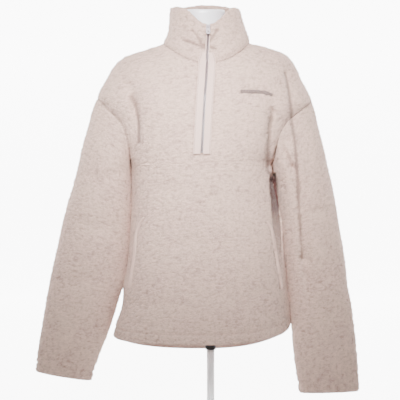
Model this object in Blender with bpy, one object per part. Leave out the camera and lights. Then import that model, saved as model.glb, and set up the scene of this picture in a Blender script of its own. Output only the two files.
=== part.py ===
"""Half-zip high-pile fleece pullover, hanging on a limbless dress form with a round-footed stand.

Metres, Z up, floor at z = 0, the front faces -Y. Right and left are the wearer's: right is at -X.
Every width in the tables is measured from the garment's own middle line.
"""
import math

import bmesh
import bpy
import numpy as np

# Driving dimensions
GARMENT_X = -0.016      # the garment's middle line from the pole's axis
WALL = 0.004            # fleece with its knitted back
HEM_WALL = 0.0055       # turned hem and cuffs
COLLAR_WALL = 0.0075    # doubled collar
SEAM_GAP = 0.0007       # between two pieces at a seam
ARMHOLE_DEPTH = 0.066   # half of the armhole, front to back
SLIT = 0.0048           # half of the opening for the zip
TAPE_HALF = 0.0178      # middle line to outer edge of a zip tape
TAPE_WALL = 0.0011
CHAIN_HALF = 0.0022
CHAIN_WALL = 0.0019
WELT_WIDTH = 0.0058
WELT_WALL = 0.0024
POLE_RADIUS = 0.008
FITTING_RADIUS = 0.0113
BASE_RADIUS = 0.145
BASE_HEIGHT = 0.012

# Cells of the solids
BODY_ROWS = 13
ARM_ROWS = 10
SHOULDER_ROWS = 7
FRONT_HALF = 13
BACK_COLUMNS = 20
SLEEVE_ROWS = 24
COLLAR_ROWS = 6
SLIT_ROW = BODY_ROWS + 3

# Body: s 0..1 hem to underarm, 1..2 armhole, 2..3 shoulder tip to neck
TORSO = np.array([
    # s    x_right x_left z_right z_left y_front z_front y_back z_back x_middle power
    [0.00, 0.1870, 0.1815, 0.1720, 0.1955, 0.1350, 0.1640, 0.1350, 0.1310, -0.0020, 2.40],
    [0.06, 0.1815, 0.1800, 0.1950, 0.2120, 0.1340, 0.1880, 0.1340, 0.1620, -0.0021, 2.40],
    [0.14, 0.1705, 0.1780, 0.2250, 0.2320, 0.1330, 0.2210, 0.1330, 0.2050, -0.0023, 2.40],
    [0.27, 0.1640, 0.1745, 0.2710, 0.2730, 0.1310, 0.2710, 0.1310, 0.2640, -0.0026, 2.40],
    [0.41, 0.1565, 0.1705, 0.3210, 0.3210, 0.1290, 0.3210, 0.1290, 0.3180, -0.0029, 2.40],
    [0.60, 0.1503, 0.1640, 0.3885, 0.3885, 0.1260, 0.3885, 0.1240, 0.3880, -0.0032, 2.40],
    [0.70, 0.1480, 0.1598, 0.4240, 0.4240, 0.1250, 0.4240, 0.1220, 0.4240, -0.0034, 2.40],
    [0.79, 0.1468, 0.1545, 0.4560, 0.4560, 0.1240, 0.4560, 0.1200, 0.4560, -0.0035, 2.40],
    [0.92, 0.1472, 0.1474, 0.5000, 0.5000, 0.1240, 0.5000, 0.1170, 0.5010, -0.0035, 2.40],
    [1.00, 0.1500, 0.1445, 0.5250, 0.5250, 0.1240, 0.5260, 0.1150, 0.5270, -0.0034, 2.40],
    [1.12, 0.1565, 0.1530, 0.5420, 0.5410, 0.1240, 0.5430, 0.1145, 0.5430, -0.0031, 2.37],
    [1.30, 0.1690, 0.1670, 0.5685, 0.5665, 0.1230, 0.5635, 0.1140, 0.5660, -0.0022, 2.30],
    [1.50, 0.1830, 0.1830, 0.5975, 0.5945, 0.1210, 0.5840, 0.1135, 0.5920, -0.0010, 2.20],
    [1.70, 0.1975, 0.2010, 0.6265, 0.6225, 0.1185, 0.6050, 0.1130, 0.6200, 0.0002, 2.10],
    [1.88, 0.2155, 0.2230, 0.6525, 0.6475, 0.1155, 0.6250, 0.1125, 0.6450, 0.0012, 2.00],
    [2.00, 0.2205, 0.2280, 0.6700, 0.6640, 0.1130, 0.6400, 0.1120, 0.6620, 0.0021, 2.00],
    [2.12, 0.2125, 0.2170, 0.6910, 0.6880, 0.1095, 0.6585, 0.1100, 0.6840, 0.0032, 2.00],
    [2.24, 0.2020, 0.2060, 0.7080, 0.7080, 0.1055, 0.6760, 0.1070, 0.7040, 0.0044, 2.00],
    [2.36, 0.1930, 0.1990, 0.7245, 0.7245, 0.1010, 0.6905, 0.1025, 0.7220, 0.0056, 2.00],
    [2.50, 0.1810, 0.1885, 0.7410, 0.7425, 0.0955, 0.7045, 0.0965, 0.7410, 0.0067, 2.00],
    [2.66, 0.1600, 0.1700, 0.7555, 0.7605, 0.0890, 0.7180, 0.0860, 0.7600, 0.0073, 2.05],
    [2.83, 0.1220, 0.1340, 0.7696, 0.7735, 0.0830, 0.7285, 0.0730, 0.7780, 0.0080, 2.15],
    [3.00, 0.0840, 0.0980, 0.7830, 0.7840, 0.0770, 0.7380, 0.0600, 0.7970, 0.0085, 2.20],
])

COLLAR = np.array([
    # h    x_right x_left z_right z_left y_front z_front y_back z_back x_middle dip
    [0.00, 0.0840, 0.0980, 0.7830, 0.7840, 0.0770, 0.7380, 0.0600, 0.7970, 0.0085, 1.0],
    [0.12, 0.0790, 0.0960, 0.7930, 0.7940, 0.0765, 0.7475, 0.0615, 0.8070, 0.0087, 1.3],
    [0.35, 0.0730, 0.0905, 0.8080, 0.8100, 0.0735, 0.7670, 0.0630, 0.8260, 0.0091, 2.0],
    [0.65, 0.0708, 0.0840, 0.8290, 0.8290, 0.0680, 0.7910, 0.0635, 0.8490, 0.0101, 3.0],
    [0.90, 0.0697, 0.0785, 0.8470, 0.8460, 0.0635, 0.8105, 0.0625, 0.8670, 0.0104, 3.8],
    [1.00, 0.0690, 0.0755, 0.8530, 0.8520, 0.0615, 0.8176, 0.0605, 0.8725, 0.0105, 4.0],
])

SLEEVE_RIGHT = np.array([
    # t    x_out  z_out  x_in   z_in   depth  y_middle
    [0.00, 0.2205, 0.6700, 0.1500, 0.5250, 0.0660, 0.000],
    [0.04, 0.2290, 0.6530, 0.1520, 0.5100, 0.0655, 0.000],
    [0.10, 0.2370, 0.6240, 0.1516, 0.4870, 0.0640, 0.000],
    [0.20, 0.2500, 0.5730, 0.1510, 0.4520, 0.0610, -0.001],
    [0.30, 0.2625, 0.5230, 0.1520, 0.4190, 0.0570, -0.002],
    [0.42, 0.2810, 0.4560, 0.1552, 0.3760, 0.0530, -0.003],
    [0.54, 0.2980, 0.3885, 0.1592, 0.3310, 0.0490, -0.004],
    [0.66, 0.3130, 0.3210, 0.1690, 0.2800, 0.0440, -0.005],
    [0.75, 0.3245, 0.2710, 0.1815, 0.2370, 0.0400, -0.006],
    [0.83, 0.3320, 0.2250, 0.1945, 0.1920, 0.0360, -0.006],
    [0.91, 0.3400, 0.1740, 0.2130, 0.1430, 0.0310, -0.007],
    [0.96, 0.3465, 0.1320, 0.2270, 0.1060, 0.0270, -0.007],
    [1.00, 0.3495, 0.0966, 0.2350, 0.0777, 0.0250, -0.007],
])

SLEEVE_LEFT = np.array([
    # t    x_out  z_out  x_in   z_in   depth  y_middle
    [0.00, 0.2280, 0.6640, 0.1445, 0.5250, 0.0660, 0.000],
    [0.04, 0.2335, 0.6450, 0.1478, 0.5080, 0.0655, 0.000],
    [0.10, 0.2400, 0.6130, 0.1530, 0.4870, 0.0640, 0.000],
    [0.20, 0.2500, 0.5730, 0.1590, 0.4600, 0.0610, -0.001],
    [0.30, 0.2625, 0.5230, 0.1645, 0.4280, 0.0580, -0.002],
    [0.42, 0.2770, 0.4560, 0.1690, 0.3820, 0.0540, -0.003],
    [0.54, 0.2880, 0.3885, 0.1735, 0.3330, 0.0500, -0.004],
    [0.66, 0.2980, 0.3210, 0.1785, 0.2810, 0.0460, -0.004],
    [0.75, 0.3045, 0.2710, 0.1820, 0.2380, 0.0420, -0.005],
    [0.83, 0.3125, 0.2250, 0.1858, 0.1950, 0.0380, -0.005],
    [0.91, 0.3190, 0.1700, 0.1890, 0.1480, 0.0330, -0.006],
    [0.96, 0.3240, 0.1150, 0.1930, 0.1050, 0.0290, -0.006],
    [1.00, 0.3290, 0.0560, 0.2010, 0.0520, 0.0260, -0.006],
])

# Dress form: half-width and middle of each ring
FORM = np.array([
    # s    half   middle z_right z_left y_front z_front y_back z_back
    [0.00, 0.1440, 0.0160, 0.2000, 0.2000, 0.1000, 0.2000, 0.1010, 0.2000],
    [0.08, 0.1470, 0.0145, 0.2700, 0.2700, 0.1040, 0.2700, 0.1060, 0.2700],
    [0.22, 0.1180, 0.0120, 0.4000, 0.4000, 0.0900, 0.4000, 0.0920, 0.4000],
    [0.36, 0.1190, 0.0095, 0.5200, 0.5200, 0.1030, 0.5200, 0.0930, 0.5200],
    [0.44, 0.1270, 0.0085, 0.5750, 0.5750, 0.1080, 0.5650, 0.0960, 0.5750],
    [0.53, 0.1440, 0.0070, 0.6400, 0.6400, 0.1000, 0.6150, 0.0980, 0.6400],
    [0.60, 0.1580, 0.0060, 0.6900, 0.6900, 0.0920, 0.6550, 0.0950, 0.6850],
    [0.66, 0.1655, 0.0055, 0.7250, 0.7280, 0.0850, 0.6800, 0.0890, 0.7150],
    [0.71, 0.1625, 0.0052, 0.7455, 0.7490, 0.0770, 0.6960, 0.0820, 0.7340],
    [0.75, 0.1480, 0.0049, 0.7568, 0.7610, 0.0690, 0.7060, 0.0740, 0.7450],
    [0.79, 0.1250, 0.0045, 0.7651, 0.7692, 0.0600, 0.7130, 0.0660, 0.7540],
    [0.83, 0.1000, 0.0040, 0.7722, 0.7760, 0.0520, 0.7210, 0.0590, 0.7630],
    [0.87, 0.0760, 0.0035, 0.7800, 0.7830, 0.0470, 0.7320, 0.0540, 0.7740],
    [0.91, 0.0560, 0.0030, 0.7930, 0.7940, 0.0440, 0.7550, 0.0500, 0.7900],
    [0.95, 0.0460, 0.0025, 0.8180, 0.8180, 0.0420, 0.7950, 0.0460, 0.8150],
    [1.00, 0.0440, 0.0020, 0.8560, 0.8560, 0.0410, 0.8560, 0.0440, 0.8560],
])

# Folds pushed into the cloth along Y: facing -1 front, +1 back
FOLDS = [
    # facing, depth, width, points as x, z
    (-1, 0.0060, 0.010, [(0.176, 0.722), (0.184, 0.690), (0.190, 0.650), (0.198, 0.580)]),
    (-1, 0.0060, 0.010, [(0.198, 0.580), (0.202, 0.530), (0.209, 0.414), (0.214, 0.330)]),
    (-1, 0.0025, 0.014, [(0.214, 0.330), (0.222, 0.250), (0.229, 0.183)]),
    (-1, 0.0062, 0.014, [(0.142, 0.655), (0.140, 0.600), (0.139, 0.530)]),
    (-1, 0.0055, 0.015, [(-0.133, 0.690), (-0.140, 0.620), (-0.146, 0.555)]),
    (-1, 0.0025, 0.009, [(-0.150, 0.246), (-0.110, 0.240), (-0.072, 0.247)]),
    (-1, 0.0020, 0.009, [(-0.158, 0.207), (-0.112, 0.200), (-0.080, 0.206)]),
    (-1, 0.0028, 0.010, [(0.095, 0.232), (0.130, 0.224), (0.165, 0.238)]),
    (-1, 0.0030, 0.012, [(-0.262, 0.420), (-0.225, 0.395), (-0.190, 0.402)]),
    (-1, 0.0030, 0.012, [(-0.300, 0.300), (-0.262, 0.282), (-0.222, 0.292)]),
    (1, 0.0065, 0.014, [(-0.138, 0.680), (-0.142, 0.610), (-0.146, 0.545)]),
    (1, 0.0065, 0.014, [(0.146, 0.690), (0.143, 0.610), (0.141, 0.540)]),
    (1, 0.0045, 0.013, [(-0.190, 0.640), (-0.205, 0.540), (-0.222, 0.430), (-0.238, 0.340)]),
    (1, 0.0045, 0.013, [(0.192, 0.640), (0.204, 0.540), (0.217, 0.420), (0.226, 0.320)]),
    (1, 0.0035, 0.012, [(-0.120, 0.330), (-0.060, 0.316), (0.000, 0.322), (0.060, 0.312)]),
    (1, 0.0030, 0.011, [(-0.080, 0.240), (0.000, 0.232), (0.090, 0.246)]),
    (1, 0.0035, 0.016, [(-0.050, 0.700), (0.000, 0.690), (0.055, 0.702)]),
]

# Pocket openings on the front, x and z from the upper end down
WELT_LEFT = [(0.1300, 0.4127), (0.1360, 0.4040), (0.1445, 0.3779), (0.1480, 0.3535),
             (0.1520, 0.3307), (0.1580, 0.3000), (0.1625, 0.2713)]
WELT_RIGHT = [(-0.1200, 0.4209), (-0.1285, 0.4085), (-0.1365, 0.3860), (-0.1405, 0.3492),
              (-0.1435, 0.3250), (-0.1480, 0.2980), (-0.1530, 0.2720)]

# Zip slider and tab, about the tab's hinge
SLIDER_H = 0.90         # height on the collar, as a share of it
SLIDER_WIDTH = 0.0084
SLIDER_UP = 0.0040
SLIDER_DOWN = 0.0055
SLIDER_THICK = 0.0030
BAIL_HALF = 0.0011
BAIL_ROOM = 0.00115
BAIL_RUN = 0.0015
BAIL_WALL = 0.0009
TAB_HALF = 0.0046
TAB_TOP_HALF = 0.0038
TAB_LENGTH = 0.0170
TAB_WALL = 0.0014
TAB_WINDOW_HALF = 0.0021
TAB_WINDOW_END = 0.0042
TAB_BAR_RADIUS = 0.00075
TAB_HOLE_RADIUS = 0.0020
TAB_HOLE_DROP = 0.0123


def clear_scene():
    for item in list(bpy.data.objects):
        bpy.data.objects.remove(item, do_unlink=True)


def smooth(x):
    x = np.clip(x, 0.0, 1.0)
    return x * x * (3.0 - 2.0 * x)


def read(table, column, t):
    """Smooth curve through one column of a table."""
    key = table[:, 0]
    value = table[:, column]
    slope = np.gradient(value, key)
    t = np.clip(np.asarray(t, float), key[0], key[-1])
    i = np.clip(np.searchsorted(key, t, side="right") - 1, 0, len(key) - 2)
    step = key[i + 1] - key[i]
    u = (t - key[i]) / step
    a = (1.0 + 2.0 * u) * (1.0 - u) ** 2 * value[i]
    b = u * (1.0 - u) ** 2 * step * slope[i]
    c = u * u * (3.0 - 2.0 * u) * value[i + 1]
    d = u * u * (u - 1.0) * step * slope[i + 1]
    return a + b + c + d


def hem_bow(s):
    """How the hem's drop spreads to the sides: 1 above, less at the hem, where it stays low
    across the middle and turns up near the side seams."""
    return 0.5 + 0.5 * smooth(s / 0.30)


def ring(table, t, angle, power, dip=1.0, bow=1.0):
    """Point at an angle round a ring: 0 front, 90 degrees the wearer's left, 180 back."""
    sine = np.sin(angle)
    cosine = np.cos(angle)
    side = np.where(sine < 0.0, -read(table, 1, t), read(table, 2, t))
    z_side = np.where(sine < 0.0, read(table, 3, t), read(table, 4, t))
    front = cosine > 0.0
    y_mid = np.where(front, -read(table, 5, t), read(table, 7, t))
    z_mid = np.where(front, read(table, 6, t), read(table, 8, t))
    x_mid = read(table, 9, t) * np.abs(cosine) ** 2
    weight = np.abs(cosine) ** (2.0 * bow)
    weight = np.where(front, weight ** dip, weight)
    x = side * np.abs(sine) ** (2.0 / power) + x_mid
    y = y_mid * np.abs(cosine) ** (2.0 / power)
    z = z_side + (z_mid - z_side) * weight
    return np.stack([x, y, z], axis=-1)


def fold(points):
    """Push the cloth in along every fold that faces its way."""
    out = points.copy()
    flat = points[..., [0, 2]]
    for facing, depth, width, path in FOLDS:
        path = np.array(path)
        best = np.full(points.shape[:-1], 1.0)
        for a, b in zip(path[:-1], path[1:]):
            run = b - a
            share = ((flat - a) @ run) / (run @ run)
            near = a + np.clip(share, 0.0, 1.0)[..., None] * run
            best = np.minimum(best, np.linalg.norm(flat - near, axis=-1))
        faces = smooth((facing * points[..., 1] - 0.012) / 0.035)
        out[..., 1] -= facing * depth * np.exp(-(best / width) ** 2) * faces
    return out


def row_keys():
    """Values of s for the rows of the body, the armhole rows spaced as round an oval."""
    low = np.linspace(0.0, 1.0, BODY_ROWS + 1)[:-1]
    turn = np.linspace(0.0, math.pi, ARM_ROWS + 1)
    arm = 1.0 + (1.0 - np.cos(turn)) / 2.0
    top = np.linspace(2.0, 3.0, SHOULDER_ROWS + 1)[1:]
    return np.concatenate([low, arm, top])


def edge_angle(s, depth, power):
    """How far from the middle a panel runs at each row: a right angle, less in the armhole."""
    turn = np.arccos(np.clip(1.0 - 2.0 * (np.clip(s, 1.0, 2.0) - 1.0), -1.0, 1.0))
    share = ARMHOLE_DEPTH * np.sin(turn) / depth
    return np.arccos(np.clip(share, 0.0, 1.0) ** (power / 2.0))


def slit_angle(width, power):
    return np.arcsin((SLIT / width) ** (power / 2.0))


def front_grid(keys):
    rows = []
    for s in keys:
        power = read(TORSO, 10, s)
        edge = edge_angle(s, read(TORSO, 5, s), power)
        step = np.linspace(0.0, 1.0, FRONT_HALF + 1)
        first_r = slit_angle(read(TORSO, 1, s), power)
        first_l = slit_angle(read(TORSO, 2, s), power)
        short = math.pi / 2.0 - edge
        right = -(first_r + (math.pi / 2.0 - first_r) * step - short * step ** 2)[::-1]
        left = first_l + (math.pi / 2.0 - first_l) * step - short * step ** 2
        rows.append(ring(TORSO, s, np.concatenate([right, left]), power, 1.0, hem_bow(s)))
    return fold(np.array(rows))


def back_grid(keys):
    rows = []
    for s in keys:
        power = read(TORSO, 10, s)
        edge = edge_angle(s, read(TORSO, 7, s), power)
        step = np.linspace(-1.0, 1.0, BACK_COLUMNS + 1)
        turn = step * math.pi / 2.0 - np.sign(step) * (math.pi / 2.0 - edge) * step ** 2
        rows.append(ring(TORSO, s, math.pi + turn, power, 1.0, hem_bow(s)))
    return fold(np.array(rows))


def collar_grid():
    neck = TORSO[-1]
    step = np.linspace(0.0, 1.0, FRONT_HALF + 1)
    first_r = slit_angle(neck[1], neck[10])
    first_l = slit_angle(neck[2], neck[10])
    left = first_l + (math.pi / 2.0 - first_l) * step
    back = math.pi - np.linspace(-1.0, 1.0, BACK_COLUMNS + 1)[::-1] * math.pi / 2.0
    right = 2.0 * math.pi - (first_r + (math.pi / 2.0 - first_r) * step[::-1])
    angle = np.concatenate([left, back[1:-1], right])
    rows = []
    for h in np.linspace(0.0, 1.0, COLLAR_ROWS + 1):
        rows.append(ring(COLLAR, h, angle, neck[10], read(COLLAR, 10, h)))
    return np.array(rows)


def sleeve_grid(table, sign, front, back, keys):
    """Rings from the armhole to the cuff. The first one is the armhole's own edge."""
    column = 0 if sign < 0 else -1
    other = -1 if sign < 0 else 0
    window = slice(BODY_ROWS, BODY_ROWS + ARM_ROWS + 1)
    down = front[window, column][::-1]
    up = back[window, other][1:-1]
    start = np.concatenate([down, up])
    turn = np.linspace(0.0, 2.0 * math.pi, 2 * ARM_ROWS + 1)[:-1]

    def oval(t):
        outer = np.array([sign * read(table, 1, t), read(table, 6, t), read(table, 2, t)])
        inner = np.array([sign * read(table, 3, t), read(table, 6, t), read(table, 4, t)])
        middle = (outer + inner) / 2.0
        reach = (outer - inner) / 2.0
        points = middle + np.cos(turn)[:, None] * reach
        points[:, 1] -= read(table, 5, t) * np.sin(turn)
        return points

    shift = start - fold(oval(0.0))
    rows = []
    for t in np.linspace(0.0, 1.0, SLEEVE_ROWS + 1):
        fade = 1.0 - smooth(t / 0.25)
        rows.append(fold(oval(t)) + shift * fade)
    return np.array(rows)


def face_list(grid, mask, wrap):
    rows, columns = grid.shape[:2]
    cells = []
    for r in range(rows - 1):
        for c in range(columns if wrap else columns - 1):
            if mask[r, c]:
                d = (c + 1) % columns
                cells.append((r * columns + c, r * columns + d,
                              (r + 1) * columns + d, (r + 1) * columns + c))
    return cells


def shared_normals(pieces):
    """Vertex normals of the outer face. Where pieces meet they share one normal, except in a
    deep valley, where each keeps its own; "apart" is 1 there and 0 on a flat seam."""
    points = np.concatenate([p["grid"].reshape(-1, 3) for p in pieces])
    groups = sorted({p["group"] for p in pieces})
    total = np.zeros((len(groups), len(points), 3))
    start = 0
    for piece in pieces:
        layer = total[groups.index(piece["group"])]
        flat = piece["grid"].reshape(-1, 3)
        for cell in piece["cells"]:
            a, b, c, d = (flat[i] for i in cell)
            normal = np.cross(c - a, d - b) * piece["turn"]
            for i in cell:
                layer[start + i] += normal
        start += len(flat)
    _, same = np.unique(np.round(points, 6), axis=0, return_inverse=True)
    same = same.ravel()
    merged = np.zeros((len(groups), same.max() + 1, 3))
    for layer, sums in zip(total, merged):
        np.add.at(sums, same, layer)
    length = np.linalg.norm(merged, axis=2)
    own = merged / np.maximum(length, 1e-12)[..., None]
    both = own.sum(axis=0)
    count = (length > 1e-12).sum(axis=0)
    size = np.linalg.norm(both, axis=1)
    joined = both / np.maximum(size, 1e-9)[:, None]
    cosine = np.where(count > 1, (size ** 2 - count) / 2.0, 1.0)
    apart = smooth((0.75 - cosine) / 0.5)
    start = 0
    for piece in pieces:
        shape = piece["grid"].shape
        near = same[start:start + shape[0] * shape[1]]
        mine = own[groups.index(piece["group"])][near]
        share = apart[near][:, None]
        blend = joined[near] * (1.0 - share) + mine * share
        piece["normal"] = joined[near]
        piece["own"] = mine
        piece["apart"] = apart[near]
        piece["inward"] = blend / np.maximum(np.linalg.norm(blend, axis=1), 1e-9)[:, None]
        start += shape[0] * shape[1]


def edge_cells(cells):
    """Edges that belong to one cell only, in the cell's own direction."""
    seen = {}
    for cell in cells:
        for a, b in zip(cell, cell[1:] + cell[:1]):
            seen[(a, b)] = True
    return [(a, b) for a, b in seen if (b, a) not in seen]


def make_object(name, points, faces, material):
    mesh = bpy.data.meshes.new(name)
    mesh.from_pydata([tuple(float(v) for v in p) for p in points], [], faces)
    work = bmesh.new()
    work.from_mesh(mesh)
    loose = [v for v in work.verts if not v.link_faces]
    bmesh.ops.delete(work, geom=loose, context="VERTS")
    bmesh.ops.recalc_face_normals(work, faces=work.faces)
    work.to_mesh(mesh)
    work.free()
    item = bpy.data.objects.new(name, mesh)
    bpy.context.scene.collection.objects.link(item)
    mesh.materials.append(material)
    return item


def cloth(name, piece, wall, material):
    """A closed wall: the outer face, an inner face set back by the wall, and its edges."""
    points = piece["grid"].reshape(-1, 3).copy()
    normal = piece["normal"]
    own = piece["own"]
    apart = piece["apart"]
    cells = piece["cells"]
    rim = edge_cells(cells)
    on_rim = {a for edge in rim for a in edge}
    pull = np.zeros_like(points)
    for cell in cells:
        for i in cell:
            for j in cell:
                if i in on_rim and j not in on_rim:
                    pull[i] += points[j] - points[i]
    for i in on_rim:
        side = pull[i] - (pull[i] @ normal[i]) * normal[i]
        side /= max(np.linalg.norm(side), 1e-9)
        move = side * (1.0 - apart[i]) - own[i] * apart[i]
        move /= max(np.linalg.norm(move), 1e-9)
        along = pull[i] - (pull[i] @ own[i]) * own[i]
        move += along / max(np.linalg.norm(along), 1e-9) * apart[i]
        points[i] += move * (SEAM_GAP / 2.0)
    thick = np.broadcast_to(wall, piece["grid"].shape[:2]).reshape(-1)
    inner = points - piece["inward"] * thick[:, None]
    count = len(points)
    faces = [tuple(cell) for cell in cells]
    faces += [tuple(i + count for i in reversed(cell)) for cell in cells]
    faces += [(b, a, a + count, b + count) for a, b in rim]
    both = np.concatenate([points, inner])
    both[:, 0] += GARMENT_X
    return make_object(name, both, faces, material)


def strip(name, rows, wall, lift, material):
    """A thin piece laid on the cloth: rows of points with their outward normals."""
    grid = np.array([[p for p, _ in row] for row in rows])
    normal = np.array([[n for _, n in row] for row in rows])
    mask = np.ones((grid.shape[0] - 1, grid.shape[1] - 1), bool)
    cells = face_list(grid, mask, False)
    low = (grid + normal * lift).reshape(-1, 3)
    high = (grid + normal * (lift + wall)).reshape(-1, 3)
    count = len(low)
    faces = [tuple(cell) for cell in cells]
    faces += [tuple(i + count for i in reversed(cell)) for cell in cells]
    faces += [(b, a, a + count, b + count) for a, b in edge_cells(cells)]
    both = np.concatenate([low, high])
    both[:, 0] += GARMENT_X
    return make_object(name, both, faces, material)


def zip_point(key, offset):
    """Point beside the zip's middle line: key 1..3 on the body, 3..4 on the collar."""
    table = TORSO if key <= 3.0 else COLLAR
    t = key if key <= 3.0 else key - 3.0
    dip = 1.0 if key <= 3.0 else read(COLLAR, 10, t)
    power = read(TORSO, 10, min(key, 3.0))
    width = read(table, 1 if offset < 0.0 else 2, t)
    angle = math.copysign(math.asin((abs(offset) / width) ** (power / 2.0)), offset)
    return ring(table, t, np.array(angle), power, dip)


def zip_frame(key, offset):
    """A point by the zip and the outward normal there."""
    step = 0.02
    low = max(key - step, 1.0)
    high = min(key + step, 4.0)
    along = zip_point(high, offset) - zip_point(low, offset)
    side = zip_point(key, 0.012) - zip_point(key, -0.012)
    normal = np.cross(side, along)
    return zip_point(key, offset), normal / np.linalg.norm(normal)


def on_front(x, z):
    """The point of the front's outer face straight behind x, z, and its normal."""

    def find(px, pz):
        low = 0.0
        high = 3.0
        for _ in range(40):
            s = (low + high) / 2.0
            width = read(TORSO, 1 if px < 0.0 else 2, s)
            power = read(TORSO, 10, s)
            ratio = min(abs(px) / width, 1.0)
            angle = math.copysign(math.asin(ratio ** (power / 2.0)), px)
            point = ring(TORSO, s, np.array(angle), power, 1.0, hem_bow(s))
            if point[2] < pz:
                low = s
            else:
                high = s
        return fold(point[None])[0]

    here = find(x, z)
    across = find(x + 0.002, z) - find(x - 0.002, z)
    upward = find(x, z + 0.002) - find(x, z - 0.002)
    normal = np.cross(across, upward)
    return here, normal / np.linalg.norm(normal)


def path_points(path, count):
    path = np.array(path)
    run = np.concatenate([[0.0], np.cumsum(np.linalg.norm(np.diff(path, axis=0), axis=1))])
    table = np.column_stack([run / run[-1], path])
    share = np.linspace(0.0, 1.0, count)
    return np.column_stack([read(table, 1, share), read(table, 2, share)])


def welt(name, path, material):
    """A rounded binding along a pocket opening."""
    line = path_points(path, 15)
    along = np.gradient(line, axis=0)
    along /= np.linalg.norm(along, axis=1)[:, None]
    rows = []
    for (x, z), (dx, dz) in zip(line, along):
        row = []
        for share, rise in ((-1.0, 0.0), (-0.45, 0.0009), (0.45, 0.0009), (1.0, 0.0)):
            move = share * WELT_WIDTH / 2.0
            point, normal = on_front(x - dz * move, z + dx * move)
            row.append((point + normal * rise, normal))
        rows.append(row)
    return strip(name, rows, WELT_WALL, 0.0009, material)


def lathe(name, profile, segments, material, centre_x=0.0):
    """A closed body of revolution about an upright axis from radius, height pairs."""
    points = []
    faces = []
    for radius, z in profile:
        for k in range(segments):
            a = 2.0 * math.pi * k / segments
            points.append((centre_x + radius * math.cos(a), radius * math.sin(a), z))
    for r in range(len(profile) - 1):
        for k in range(segments):
            j = (k + 1) % segments
            faces.append((r * segments + k, r * segments + j,
                          (r + 1) * segments + j, (r + 1) * segments + k))
    last = (len(profile) - 1) * segments
    faces.append(tuple(reversed(range(segments))))
    faces.append(tuple(range(last, last + segments)))
    return make_object(name, points, faces, material)


def form_body(material):
    """The form: a smooth torso with a neck, closed at the foot and at the neck's top."""
    table = np.column_stack([
        FORM[:, 0], FORM[:, 1] - FORM[:, 2], FORM[:, 1] + FORM[:, 2], FORM[:, 3], FORM[:, 4],
        FORM[:, 5], FORM[:, 6], FORM[:, 7], FORM[:, 8], np.zeros(len(FORM))])
    columns = 32
    angle = np.linspace(0.0, 2.0 * math.pi, columns + 1)[:-1]
    keys = np.concatenate([np.linspace(0.0, 0.53, 11), np.linspace(0.56, 1.0, 20)])
    rows = [ring(table, t, angle, 2.2) for t in keys]
    points = np.concatenate(rows)
    points[:, 0] += GARMENT_X
    faces = []
    for r in range(len(rows) - 1):
        for k in range(columns):
            j = (k + 1) % columns
            faces.append((r * columns + k, r * columns + j,
                          (r + 1) * columns + j, (r + 1) * columns + k))
    last = (len(rows) - 1) * columns
    faces.append(tuple(reversed(range(columns))))
    faces.append(tuple(range(last, last + columns)))
    return make_object("form_torso", points, faces, material)


def box(low, high):
    work = bpy.data.meshes.new("box")
    (x0, y0, z0), (x1, y1, z1) = low, high
    points = [(x0, y0, z0), (x1, y0, z0), (x1, y1, z0), (x0, y1, z0),
              (x0, y0, z1), (x1, y0, z1), (x1, y1, z1), (x0, y1, z1)]
    faces = [(0, 3, 2, 1), (4, 5, 6, 7), (0, 1, 5, 4), (1, 2, 6, 5), (2, 3, 7, 6), (3, 0, 4, 7)]
    work.from_pydata(points, [], faces)
    item = bpy.data.objects.new("box", work)
    bpy.context.scene.collection.objects.link(item)
    return item


def rod(axis, radius, low, high, segments):
    """A closed rod along X or Y through the local origin."""
    points = []
    for end in (low, high):
        for k in range(segments):
            a = 2.0 * math.pi * k / segments
            u = radius * math.cos(a)
            v = radius * math.sin(a)
            points.append((end, u, v) if axis == "x" else (u, end, v))
    faces = [tuple(range(segments)), tuple(range(2 * segments - 1, segments - 1, -1))]
    for k in range(segments):
        j = (k + 1) % segments
        faces.append((k, k + segments, j + segments, j))
    mesh = bpy.data.meshes.new("rod")
    mesh.from_pydata(points, [], faces)
    work = bmesh.new()
    work.from_mesh(mesh)
    bmesh.ops.recalc_face_normals(work, faces=work.faces)
    work.to_mesh(mesh)
    work.free()
    item = bpy.data.objects.new("rod", mesh)
    bpy.context.scene.collection.objects.link(item)
    return item


def combine(target, other, operation):
    bpy.context.view_layer.update()
    modifier = target.modifiers.new(operation, "BOOLEAN")
    modifier.operation = operation
    modifier.solver = "EXACT"
    modifier.object = other
    graph = bpy.context.evaluated_depsgraph_get()
    mesh = bpy.data.meshes.new_from_object(target.evaluated_get(graph))
    target.modifiers.clear()
    target.data = mesh
    bpy.data.objects.remove(other, do_unlink=True)


def tilt(item, angle, place, keep_origin):
    """Lean a small part about X and set it at its place."""
    turn_c = math.cos(angle)
    turn_s = math.sin(angle)
    for vertex in item.data.vertices:
        x, y, z = vertex.co
        vertex.co = (x, y * turn_c - z * turn_s, y * turn_s + z * turn_c)
        if not keep_origin:
            vertex.co.x += place[0]
            vertex.co.y += place[1]
            vertex.co.z += place[2]
    if keep_origin:
        item.location = place


def finish(item, name, material):
    item.name = name
    item.data.name = name
    item.data.materials.clear()
    item.data.materials.append(material)


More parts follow.
